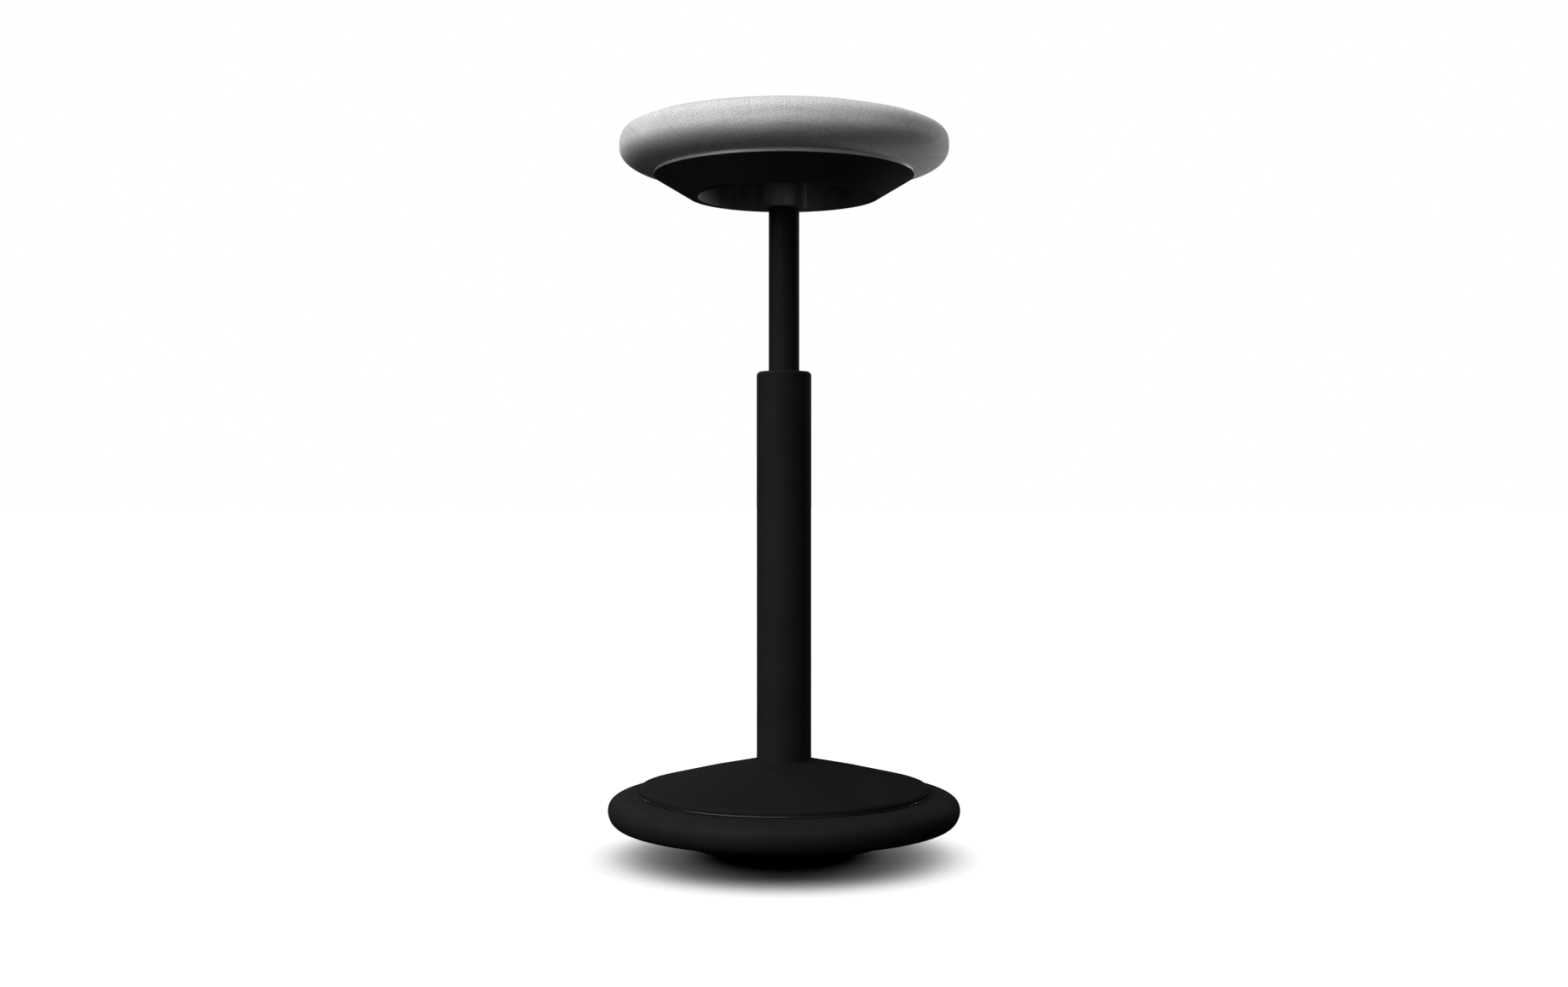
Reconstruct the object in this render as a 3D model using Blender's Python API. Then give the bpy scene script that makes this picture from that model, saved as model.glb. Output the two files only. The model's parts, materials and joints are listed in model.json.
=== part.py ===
"""Sit-stand office stool: weighted rocking foot, gas-lift column and round cushion.

The seat is modelled fully raised. Heights run up from the floor, along the stool's own axis,
and every size is in metres. The conical ring under the cushion is the height release: lifting
it anywhere tips three levers, which press the valve pin at the top of the gas spring.
"""
import math

import bmesh
import bpy
from mathutils import Matrix, Vector

# Clearances
SEAT_GAP = 0.0003
RUNNING_GAP = 0.0004

# Foot
ROCKING_RADIUS = 0.308
CONTACT_RADIUS = 0.022
SOLE_THICKNESS = 0.005
BUMPER_RADIUS = 0.1604
BUMPER_WIDTH = 0.0421
BUMPER_WIDEST_RISE = 0.0044
BUMPER_TOP_RISE = 0.0145
BUMPER_TOP_INSET = 0.0356
BUMPER_LIP_WIDTH = 0.0086
SOLE_LAP = 0.0169
WEIGHT_RIM = 0.0094
WEIGHT_HUB_WALL = 0.0095
WEIGHT_EDGE_BEVEL = 0.0015
BUMPER_TOP_SQUARENESS = 3.5
BUMPER_TOP_FULLNESS = 2.45
BUMPER_FOOT_SQUARENESS = 5.0
BUMPER_FOOT_FULLNESS = 1.65

# Cone cover over the foot
COVER_RISE = 0.0243
COVER_INSET = 0.0294
COVER_EDGE_HEIGHT = 0.0063
COVER_EDGE_OVERHANG = 0.002
COVER_EDGE_ROUNDING = 0.0016
COVER_EDGE_EASE = 0.0004
COVER_WALL = 0.0026
COVER_SCREW_INSET = 0.0183
COVER_SCREW_COUNT = 4
COVER_BOSS_RADIUS = 0.005
COVER_BOSS_SKIN = 0.00015
COVER_SCREW_REACH = 0.012
COVER_SCREW_SINK = 0.0075

# Column tube and its guide
COLUMN_RADIUS = 0.025
COLUMN_WALL = 0.0025
COLUMN_LENGTH = 0.4126
COLUMN_FOOT_HEIGHT = 0.026
COLUMN_FLOOR = 0.004
TAPER = 1 / 40
GUIDE_LENGTH = 0.078
GUIDE_RADIAL_GAP = 0.0003
CAP_HEIGHT = 0.0022
CAP_CHAMFER = 0.0022
CAP_BORE_CHAMFER = 0.00055

# Gas spring
SPRING_RADIUS = 0.014
SPRING_WALL = 0.0016
SPRING_ENGAGEMENT = 0.131
SPRING_STROKE = 0.140
LOWERED_ROOM = 0.0088
SPRING_END_LIP = 0.0034
ROD_RADIUS = 0.005
ROD_THREAD_STEP = 0.0018
ROD_COLLAR_WIDTH = 0.003
ROD_COLLAR_HEIGHT = 0.0022
ROD_GUIDE_HEIGHT = 0.014
ROD_SEAL_HEIGHT = 0.004
PISTON_HEIGHT = 0.010
PISTON_RUN = 0.0012
PISTON_GROOVE_DEPTH = 0.0018
PISTON_GROOVE_HEIGHT = 0.0032
PISTON_NUT_HEIGHT = 0.0037
PISTON_NUT_WIDTH = 0.0032
VALVE_HEIGHT = 0.0307
VALVE_CHAMBER_GAP = 0.0036
PIN_RADIUS = 0.003
PIN_HEAD_RADIUS = 0.0045
PIN_HEAD_HEIGHT = 0.003
PIN_REACH = 0.0255

# Swivel bearing on the column's floor
BALL_RADIUS = 0.002
BALL_COUNT = 6
BALL_OFFSET = 0.0043
RACE_THICKNESS = 0.0018
RACE_MARGIN = 0.0042
CAGE_THICKNESS = 0.0016
CAGE_MARGIN = 0.001
BUFFER_HEIGHT = 0.0135
BUFFER_WIDTH = 0.007
CLIP_THICKNESS = 0.0012
CLIP_WIDTH = 0.0035
CLIP_MOUTH = 0.0062
CLIP_GROOVE_DEPTH = 0.0009
WASHER_THICKNESS = 0.002
WASHER_WIDTH = 0.006
ROD_TAIL = 0.0039

# Hub
HUB_RADIUS = 0.02065
HUB_CHAMFER = 0.001
HUB_PROUD = 0.0114

# Release ring, with its trim and screws
RING_HEIGHT = 0.0188
RING_CONE_WIDTH = 0.03266
RING_FOOT_WIDTH = 0.0083
RING_WALL = 0.0025
RING_EDGE_ROUNDING = 0.0007
RING_TRAVEL = 0.0025
RING_BOSS_RADIUS = 0.004
RING_BOSS_INSET = 0.0036
RING_SCREW_DEPTH = 0.012
TRIM_WIDTH = 0.0027
TRIM_INSET = 0.00036
TRIM_HEIGHT = 0.005
TRIM_SHOWN = 0.003
TRIM_CHAMFER = 0.0006

# Pan that closes the seat from below
TRIM_ROOM = 0.0011
PAN_WALL = 0.002
PAN_INSET = 0.0008
PAN_BOSS_RADIUS = 0.0045
PAN_SCREW_INSET = 0.007

# Lift levers
LEVER_COUNT = 3
FIRST_LEVER_ANGLE = 90.0
LEVER_PIVOT_CIRCLE = 0.043
LEVER_OUTER_OVERHANG = 0.004
LEVER_TIP_RADIUS = 0.0026
LEVER_THICKNESS = 0.003
LEVER_WIDTH = 0.006
LEVER_EYE_RADIUS = 0.0036
LEVER_SIDE_GAP = 0.0005
LEVER_PIN_RADIUS = 0.0015
LEVER_PIN_HEAD_RADIUS = 0.0024
LEVER_PIN_HEAD = 0.0008
LUG_THICKNESS = 0.002
LUG_RADIUS = 0.004

# Mounting plate and board
PLATE_INSET = 0.01326
PLATE_THICKNESS = 0.003
PLATE_HOLE_RADIUS = 0.008
BOLT_INSET = 0.018
BOLT_COUNT = 4
BOLT_RADIUS = 0.003
BOLT_HEAD_RADIUS = 0.005
BOLT_HEAD = 0.003
BOARD_OVERHANG = 0.00474
BOARD_THICKNESS = 0.009
BOARD_BEVEL = 0.002
TEE_NUT_WALL = 0.0011
TEE_NUT_FLANGE_RADIUS = 0.0082
TEE_NUT_FLANGE = 0.001

# Small screws
SCREW_RADIUS = 0.002
SCREW_HEAD_RADIUS = 0.004
SCREW_HEAD = 0.0025
LIFT_SCREW_RADIUS = 0.0025
LIFT_SCREW_HEAD = 0.0035

# Cushion
CUSHION_RADIUS = 0.150
CUSHION_OVERHANG = 0.0303
CUSHION_UNDERCUT = 0.0211
CUSHION_CROWN = 0.0115
CUSHION_SHOULDER_SQUARENESS = 9.0
CUSHION_SHOULDER_FULLNESS = 5.3
CUSHION_UNDERSIDE_SQUARENESS = 1.07
CUSHION_UNDERSIDE_FULLNESS = 2.86
CUSHION_EDGE_CROWDING = 2.3
FABRIC_THICKNESS = 0.0015
FOAM_OVER_BOARD = 0.0195
HEM_CLEARANCE = 0.00044

# Steps round a full turn
FINE_STEPS = 40
MEDIUM_STEPS = 28
SMALL_STEPS = 12
FASTENER_STEPS = 8
HEX = 6

# Points along the curved outlines
SOLE_POINTS = 7
DISH_POINTS = 4
BUMPER_TOP_POINTS = 6
BUMPER_FOOT_POINTS = 5
CUSHION_UPPER_POINTS = 8
CUSHION_LOWER_POINTS = 4
HALF_ROUND_POINTS = 5

# How far a cutting guide runs past the piece it cuts
CUTTER_OVERSHOOT = 0.005

# Faces that meet at less than this angle are shaded as one round face
SMOOTH_ANGLE = 32.0

def polygon_bore(radius, sides, gap=SEAT_GAP):
    """Corner radius of a many-sided hole whose flats clear a round piece by the gap."""
    return (radius + gap) / math.cos(math.pi / sides)


def rock_height(radius, depth=0.0):
    """Height of the rocking sphere, or of one inside it by depth, at this radius."""
    centre_height = math.sqrt(ROCKING_RADIUS**2 - CONTACT_RADIUS**2)
    return max(0.0, centre_height - math.sqrt((ROCKING_RADIUS - depth) ** 2 - radius**2))


# Radii worked out from the sizes above
weight_radius = BUMPER_RADIUS - BUMPER_WIDTH
sole_radius = weight_radius + SOLE_LAP
bumper_top_radius = BUMPER_RADIUS - BUMPER_TOP_INSET
cover_shoulder_radius = BUMPER_RADIUS - COVER_INSET
cover_screw_circle = weight_radius - COVER_SCREW_INSET
column_bore = COLUMN_RADIUS - COLUMN_WALL
collar_radius = COLUMN_RADIUS + SEAT_GAP
weight_hub_radius = COLUMN_RADIUS + WEIGHT_HUB_WALL
spring_bore = SPRING_RADIUS - SPRING_WALL
rod_thread_radius = ROD_RADIUS - ROD_THREAD_STEP
ball_circle = ROD_RADIUS + BALL_OFFSET
race_inner_radius = polygon_bore(ROD_RADIUS, SMALL_STEPS, RUNNING_GAP)
race_radius = ball_circle + RACE_MARGIN
hem_radius = CUSHION_RADIUS - CUSHION_OVERHANG
ring_rim_radius = hem_radius - HEM_CLEARANCE
ring_foot_radius = ring_rim_radius - RING_CONE_WIDTH
recess_radius = ring_foot_radius - RING_FOOT_WIDTH
lift_circle = ring_foot_radius - RING_BOSS_INSET
lever_outer_arm = lift_circle - LEVER_PIVOT_CIRCLE
plate_radius = ring_rim_radius - PLATE_INSET
bolt_circle = plate_radius - BOLT_INSET
pan_screw_circle = plate_radius - PAN_SCREW_INSET
board_radius = ring_rim_radius + BOARD_OVERHANG
cone_lean = RING_CONE_WIDTH / RING_HEIGHT

# Heights worked out from the sizes above
weight_top = rock_height(weight_radius, SOLE_THICKNESS + SEAT_GAP) + WEIGHT_RIM
bumper_widest_height = weight_top + BUMPER_WIDEST_RISE
bumper_top_height = bumper_widest_height + BUMPER_TOP_RISE
cover_shoulder_height = bumper_top_height + COVER_EDGE_HEIGHT
cover_collar_height = cover_shoulder_height + COVER_RISE
column_floor_top = COLUMN_FOOT_HEIGHT + COLUMN_FLOOR
column_top = COLUMN_FOOT_HEIGHT + COLUMN_LENGTH
cap_top = column_top + SEAT_GAP + CAP_HEIGHT
hub_foot = cap_top + SPRING_STROKE + LOWERED_ROOM
ring_foot = hub_foot + HUB_PROUD
ring_rim = ring_foot + RING_HEIGHT
pan_foot = ring_rim + SEAT_GAP + TRIM_HEIGHT + RING_TRAVEL + TRIM_ROOM
pan_floor = pan_foot + PAN_WALL
ring_wall_top = pan_foot - RING_TRAVEL - SEAT_GAP
spring_top = pan_foot
lift_head_top = pan_floor + SEAT_GAP + LIFT_SCREW_HEAD
lever_axis = lift_head_top + SEAT_GAP + LEVER_THICKNESS / 2
lever_end_arm = lever_outer_arm + LEVER_OUTER_OVERHANG
lever_inner_arm = LEVER_PIVOT_CIRCLE - LEVER_TIP_RADIUS
lever_end_rise = RING_TRAVEL * lever_end_arm / lever_outer_arm
pin_travel = RING_TRAVEL * lever_inner_arm / lever_outer_arm
plate_foot = lever_axis + max(LEVER_THICKNESS / 2 + lever_end_rise, LEVER_EYE_RADIUS) + RUNNING_GAP
plate_top = plate_foot + PLATE_THICKNESS
board_foot = plate_top + SEAT_GAP
board_top = board_foot + BOARD_THICKNESS
cushion_foot = ring_rim + SEAT_GAP + TRIM_SHOWN
cushion_widest = cushion_foot + CUSHION_UNDERCUT
cushion_top = board_top + FOAM_OVER_BOARD + FABRIC_THICKNESS
cushion_shoulder = cushion_top - CUSHION_CROWN
spring_foot = column_top - SPRING_ENGAGEMENT


def column_radius_at(height):
    """Outer radius of the column, which tapers inside the weight's hub."""
    return COLUMN_RADIUS - max(0.0, weight_hub_top - height) * TAPER


def spring_radius_at(height):
    """Outer radius of the gas spring, which tapers inside the hub."""
    return SPRING_RADIUS - max(0.0, height - hub_foot) * TAPER


def cover_height(radius):
    """Height of the cone cover's outer face."""
    fall = (cover_collar_height - cover_shoulder_height) / (cover_shoulder_radius - collar_radius)
    return cover_collar_height - fall * (radius - collar_radius)


weight_hub_top = cover_height(weight_hub_radius) - 2 * COVER_WALL


def spaced(start, end, count):
    """Evenly spaced numbers, both ends included."""
    return [start + (end - start) * i / (count - 1) for i in range(count)]


def curved_corner(widest, end, round_out, round_up, count):
    """Superellipse quarter from the widest point to the end, given as (radius, height)."""
    points = []
    for turn in spaced(0, math.pi / 2, count):
        radius = end[0] + (widest[0] - end[0]) * math.cos(turn) ** (2 / round_out)
        height = widest[1] + (end[1] - widest[1]) * math.sin(turn) ** (2 / round_up)
        points.append((radius, height))
    return points


def cushion_outline(upper_count, lower_count):
    """Outer face of the cushion, from the crown over the side to the hem."""
    points = []
    for step in spaced(0, 1, upper_count):
        share = 1 - (1 - step) ** CUSHION_EDGE_CROWDING
        edge = max(0.0, 1 - share**CUSHION_SHOULDER_SQUARENESS) ** (1 / CUSHION_SHOULDER_FULLNESS)
        rise = (cushion_shoulder - cushion_widest) * edge + CUSHION_CROWN * (1 - share**2)
        points.append((CUSHION_RADIUS * share, cushion_widest + rise))
    lower = curved_corner(
        (CUSHION_RADIUS, cushion_widest), (hem_radius, cushion_foot),
        CUSHION_UNDERSIDE_SQUARENESS, CUSHION_UNDERSIDE_FULLNESS, lower_count)
    return points + lower[1:]


def inset_cushion(points, depth):
    """The cushion's face moved inward by depth, ending straight above the hem."""
    moved = [(0.0, points[0][1] - depth)]
    for before, here, after in zip(points, points[1:], points[2:]):
        along = Vector((after[0] - before[0], after[1] - before[1])).normalized()
        moved.append((here[0] + along.y * depth, here[1] - along.x * depth))
    moved.append((points[-1][0] + depth, points[-1][1] + depth))
    return moved


# Materials
def finish(name, colour, roughness, metallic=0.0):
    """A plain Principled material."""
    material = bpy.data.materials.new(name)
    material.use_nodes = True
    shader = material.node_tree.nodes["Principled BSDF"]
    shader.inputs["Base Color"].default_value = (*colour, 1.0)
    shader.inputs["Roughness"].default_value = roughness
    shader.inputs["Metallic"].default_value = metallic
    material.diffuse_color = (*colour, 1.0)
    return material


FINISHES = {
    "seat_fabric": ((0.58, 0.565, 0.565), 0.85, 0.0),
    "seat_foam": ((0.80, 0.74, 0.52), 0.95, 0.0),
    "plywood": ((0.55, 0.36, 0.19), 0.65, 0.0),
    "black_plastic": ((0.014, 0.014, 0.014), 0.50, 0.0),
    "trim_grey": ((0.22, 0.22, 0.22), 0.30, 0.0),
    "black_paint": ((0.012, 0.012, 0.012), 0.42, 0.0),
    "cap_plastic": ((0.022, 0.022, 0.023), 0.38, 0.0),
    "black_rubber": ((0.016, 0.016, 0.016), 0.70, 0.0),
    "cast_iron": ((0.10, 0.10, 0.105), 0.62, 1.0),
    "bright_steel": ((0.60, 0.61, 0.62), 0.28, 1.0),
    "zinc_steel": ((0.48, 0.49, 0.50), 0.38, 1.0),
    "bearing_plastic": ((0.75, 0.73, 0.68), 0.55, 0.0),
}


def clear_scene():
    """Removes whatever the scene holds."""
    for thing in list(bpy.data.objects):
        bpy.data.objects.remove(thing, do_unlink=True)


# Shapes
def turned(outline, steps):
    """A closed solid of revolution from (radius, height) points, about the Z axis."""
    shape = bmesh.new()
    corners = [shape.verts.new((radius, 0.0, height)) for radius, height in outline]
    pairs = list(zip(corners, corners[1:]))
    touches_axis = outline[0][0] == 0 and outline[-1][0] == 0
    if not touches_axis:
        pairs.append((corners[-1], corners[0]))
    edges = [shape.edges.new(pair) for pair in pairs]
    bmesh.ops.spin(shape, geom=corners + edges, cent=(0, 0, 0), axis=(0, 0, 1),
                   angle=2 * math.pi, steps=steps, use_merge=True)
    bmesh.ops.remove_doubles(shape, verts=shape.verts, dist=1e-6)
    bmesh.ops.dissolve_degenerate(shape, edges=shape.edges, dist=1e-6)
    bmesh.ops.recalc_face_normals(shape, faces=shape.faces)
    return shape


def rod_shape(radius, low, high, steps):
    """A plain cylinder about the Z axis."""
    return turned([(0, low), (radius, low), (radius, high), (0, high)], steps)


def block(low, high):
    """A box between two corners."""
    shape = bmesh.new()
    size = Vector(high) - Vector(low)
    middle = (Vector(high) + Vector(low)) / 2
    place = Matrix.Translation(middle) @ Matrix.Diagonal((*size, 1.0))
    bmesh.ops.create_cube(shape, size=1.0, matrix=place)
    return shape


def slab(outline, low, high):
    """A flat outline in X and Y, extruded upward."""
    shape = bmesh.new()
    face = shape.faces.new([shape.verts.new((x, y, low)) for x, y in outline])
    made = bmesh.ops.extrude_face_region(shape, geom=[face])
    top = [item for item in made["geom"] if isinstance(item, bmesh.types.BMVert)]
    bmesh.ops.translate(shape, verts=top, vec=(0, 0, high - low))
    bmesh.ops.recalc_face_normals(shape, faces=shape.faces)
    return shape


def ball(radius):
    """A small faceted ball."""
    shape = bmesh.new()
    bmesh.ops.create_icosphere(shape, subdivisions=2, radius=radius)
    return shape


def copies(make, places):
    """Separate bodies of one shape at several places, in one mesh."""
    group = bmesh.new()
    for place in places:
        one = make()
        one.transform(place)
        mesh = bpy.data.meshes.new("copy")
        one.to_mesh(mesh)
        group.from_mesh(mesh)
        one.free()
        bpy.data.meshes.remove(mesh)
    return group


def around(count, radius, first_angle=0.0, height=0.0):
    """Places on a circle, each turned so that its +X points outward."""
    places = []
    for index in range(count):
        turn = Matrix.Rotation(math.radians(first_angle + 360 * index / count), 4, "Z")
        places.append(turn @ Matrix.Translation((radius, 0, height)))
    return places


def mesh_of(name, shape):
    """A mesh made of a shape, which is used up."""
    mesh = bpy.data.meshes.new(name)
    shape.to_mesh(mesh)
    shape.free()
    return mesh


def link(name, mesh, parent=None, place=Matrix()):
    """An object of a mesh at a place in the stool's own coordinates."""
    thing = bpy.data.objects.new(name, mesh)
    bpy.context.scene.collection.objects.link(thing)
    thing.parent = parent
    parent_place = parent.matrix_world.copy() if parent else Matrix()
    thing.matrix_local = parent_place.inverted() @ place
    return thing


def finished_mesh(name, shape, slot):
    """A mesh with its material and smooth round faces."""
    mesh = mesh_of(name, shape)
    mesh.materials.append(materials[slot])
    mesh.shade_smooth()
    mesh.set_sharp_from_angle(angle=math.radians(SMOOTH_ANGLE))
    return mesh


def piece(name, shape, slot, parent, height=0.0):
    """A sub-part whose shape is given in the stool's coordinates, with its origin at a height."""
    place = Matrix.Translation((0, 0, height))
    shape.transform(place.inverted())
    return link(name, finished_mesh(name, shape, slot), parent, place)


def repeated(name, shape, slot, parent, places):
    """Numbered sub-parts that share one mesh, one at each place."""
    mesh = finished_mesh(name, shape, slot)
    for number, place in enumerate(places, start=1):
        link("%s_%d" % (name, number), mesh, parent, place)


def combine(target, name, shape, operation):
    """Joins a shape to the target, or cuts it away, through a hidden guide."""
    guide = link(name, mesh_of(name, shape))
    guide.hide_render = True
    guide.display_type = "WIRE"
    modifier = target.modifiers.new(name, "BOOLEAN")
    modifier.operation = operation
    modifier.solver = "EXACT"
    modifier.object = guide


def axis_point(name, parent, at):
    """An empty on a joint's axis, which carries what moves on that joint."""
    empty = bpy.data.objects.new(name, None)
    empty.empty_display_size = 0.02
    bpy.context.scene.collection.objects.link(empty)
    empty.parent = parent
    parent_place = parent.matrix_world if parent else Matrix()
    empty.matrix_local = parent_place.inverted() @ at
    bpy.context.view_layer.update()
    return empty


# Foot
def dish_radii():
    """Radii at which the sole and the weight share their dished faces."""
    bore_foot = column_radius_at(COLUMN_FOOT_HEIGHT) + SEAT_GAP
    return spaced(bore_foot, weight_radius, DISH_POINTS)


def make_sole(parent):
    """Rubber dish that rocks on the floor, cut flat where it stands."""
    radii = spaced(CONTACT_RADIUS, sole_radius, SOLE_POINTS)
    outer = [(0.0, 0.0)] + [(radius, rock_height(radius)) for radius in radii]
    inner_radii = [sole_radius] + dish_radii()[::-1] + [0.0]
    inner = [(radius, rock_height(radius, SOLE_THICKNESS)) for radius in inner_radii]
    piece("rocker_sole", turned(outer + inner, FINE_STEPS), "black_rubber", parent)


def make_weight(parent):
    """Cast disc whose tapered hub holds the column."""
    depth = SOLE_THICKNESS + SEAT_GAP
    bore_foot = column_radius_at(COLUMN_FOOT_HEIGHT) + SEAT_GAP
    bore_top = column_radius_at(weight_hub_top) + SEAT_GAP
    underside = [(radius, rock_height(radius, depth)) for radius in dish_radii()]
    upper = [
        (weight_radius, weight_top - WEIGHT_EDGE_BEVEL),
        (weight_radius - WEIGHT_EDGE_BEVEL, weight_top),
        (weight_hub_radius + WEIGHT_HUB_WALL / 2, weight_top),
        (weight_hub_radius, weight_top + WEIGHT_HUB_WALL / 2),
        (weight_hub_radius, weight_hub_top),
        (bore_top, weight_hub_top),
        (bore_foot, COLUMN_FOOT_HEIGHT),
    ]
    weight = piece("base_weight", turned(underside + upper, FINE_STEPS), "cast_iron", parent)
    roof = cover_screw_roof
    clearance = polygon_bore(SCREW_RADIUS, FASTENER_STEPS)
    sink = polygon_bore(SCREW_HEAD_RADIUS, FASTENER_STEPS)
    low = rock_height(0, depth) - CUTTER_OVERSHOOT
    high = weight_top + CUTTER_OVERSHOOT
    hole = [(0, low), (sink, low), (sink, roof), (clearance, roof), (clearance, high), (0, high)]
    places = around(COVER_SCREW_COUNT, cover_screw_circle, 180 / COVER_SCREW_COUNT)
    holes = copies(lambda: turned(hole, FASTENER_STEPS), places)
    combine(weight, "weight_screw_holes", holes, "DIFFERENCE")


cover_screw_roof = rock_height(cover_screw_circle, SOLE_THICKNESS + SEAT_GAP) + COVER_SCREW_SINK


def make_bumper(parent):
    """Rubber ring round the foot's edge, clipped over the weight's rim."""
    depth = SOLE_THICKNESS + SEAT_GAP
    foot_radius = sole_radius + SEAT_GAP
    inner_radius = weight_radius + SEAT_GAP
    widest = (BUMPER_RADIUS, bumper_widest_height)
    upper = curved_corner(widest, (bumper_top_radius, bumper_top_height),
                          BUMPER_TOP_SQUARENESS, BUMPER_TOP_FULLNESS, BUMPER_TOP_POINTS)
    lower = curved_corner(widest, (foot_radius, rock_height(foot_radius)),
                          BUMPER_FOOT_SQUARENESS, BUMPER_FOOT_FULLNESS, BUMPER_FOOT_POINTS)
    lip_foot = weight_top + SEAT_GAP
    inside = [
        (foot_radius, rock_height(foot_radius, depth)),
        (inner_radius, rock_height(inner_radius, depth)),
        (inner_radius, lip_foot),
        (inner_radius - BUMPER_LIP_WIDTH, lip_foot),
        (inner_radius - BUMPER_LIP_WIDTH, bumper_top_height),
    ]
    outline = upper[::-1] + lower[1:] + inside
    piece("base_bumper", turned(outline, FINE_STEPS), "black_rubber", parent)


def make_cover(parent):
    """Shallow cone with a rounded edge, screwed to the weight through four bosses."""
    edge_radius = cover_shoulder_radius + COVER_EDGE_OVERHANG
    foot = bumper_top_height + SEAT_GAP
    inner_edge = edge_radius - COVER_WALL
    outline = [
        (collar_radius, cover_collar_height),
        (cover_shoulder_radius, cover_shoulder_height),
        (edge_radius - COVER_EDGE_EASE, cover_shoulder_height - COVER_EDGE_ROUNDING),
        (edge_radius, cover_shoulder_height - 2 * COVER_EDGE_ROUNDING),
        (edge_radius, foot),
        (inner_edge, foot),
        (inner_edge, cover_height(inner_edge) - COVER_WALL),
        (collar_radius, cover_collar_height - COVER_WALL),
    ]
    cover = piece("base_cover", turned(outline, FINE_STEPS), "black_plastic", parent)
    boss_foot = weight_top + SEAT_GAP
    boss_top = cover_height(cover_screw_circle + COVER_BOSS_RADIUS) - COVER_BOSS_SKIN
    places = around(COVER_SCREW_COUNT, cover_screw_circle, 180 / COVER_SCREW_COUNT)
    bosses = copies(lambda: rod_shape(COVER_BOSS_RADIUS, boss_foot, boss_top, FASTENER_STEPS), places)
    combine(cover, "cover_bosses", bosses, "UNION")
    pilot = polygon_bore(SCREW_RADIUS, FASTENER_STEPS)
    pilot_top = boss_foot + COVER_SCREW_REACH + SEAT_GAP
    pilot_low = boss_foot - CUTTER_OVERSHOOT
    pilots = copies(lambda: rod_shape(pilot, pilot_low, pilot_top, FASTENER_STEPS), places)
    combine(cover, "cover_pilots", pilots, "DIFFERENCE")
    head_top = cover_screw_roof - SEAT_GAP
    screw = [
        (0, head_top - SCREW_HEAD),
        (SCREW_HEAD_RADIUS, head_top - SCREW_HEAD),
        (SCREW_HEAD_RADIUS, head_top),
        (SCREW_RADIUS, head_top),
        (SCREW_RADIUS, boss_foot + COVER_SCREW_REACH),
        (0, boss_foot + COVER_SCREW_REACH),
    ]
    repeated("cover_screw", turned(screw, FASTENER_STEPS), "zinc_steel", parent, places)


# Column
def make_column(parent):
    """Steel tube with a floor that carries the bearing, tapered into the weight."""
    hole = polygon_bore(ROD_RADIUS, SMALL_STEPS)
    outline = [
        (hole, COLUMN_FOOT_HEIGHT),
        (column_radius_at(COLUMN_FOOT_HEIGHT), COLUMN_FOOT_HEIGHT),
        (COLUMN_RADIUS, weight_hub_top),
        (COLUMN_RADIUS, column_top),
        (column_bore, column_top),
        (column_bore, column_floor_top),
        (hole, column_floor_top),
    ]
    piece("column_tube", turned(outline, MEDIUM_STEPS), "black_paint", parent)


def make_guide(parent):
    """Plastic guide sleeve in the tube's mouth, with the chamfered cap on its top."""
    bore = polygon_bore(SPRING_RADIUS, MEDIUM_STEPS, RUNNING_GAP)
    sleeve = column_bore - GUIDE_RADIAL_GAP
    flange_foot = column_top + SEAT_GAP
    outline = [
        (bore, column_top - GUIDE_LENGTH),
        (sleeve, column_top - GUIDE_LENGTH),
        (sleeve, flange_foot),
        (COLUMN_RADIUS, flange_foot),
        (COLUMN_RADIUS - CAP_CHAMFER, cap_top),
        (bore + CAP_BORE_CHAMFER, cap_top),
        (bore, cap_top - CAP_BORE_CHAMFER),
    ]
    piece("guide_bush", turned(outline, MEDIUM_STEPS), "cap_plastic", parent)


# Swivel bearing and piston rod
race_foot = column_floor_top + SEAT_GAP
ball_height = race_foot + RACE_THICKNESS + SEAT_GAP + BALL_RADIUS
upper_race_foot = ball_height + BALL_RADIUS + SEAT_GAP
collar_foot = upper_race_foot + RACE_THICKNESS + SEAT_GAP
washer_foot = COLUMN_FOOT_HEIGHT - SEAT_GAP - WASHER_THICKNESS
clip_foot = washer_foot - SEAT_GAP - CLIP_THICKNESS


def washer_shape(inner, outer, foot, thickness, steps):
    """A flat ring."""
    top = foot + thickness
    return turned([(inner, foot), (outer, foot), (outer, top), (inner, top)], steps)


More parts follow.
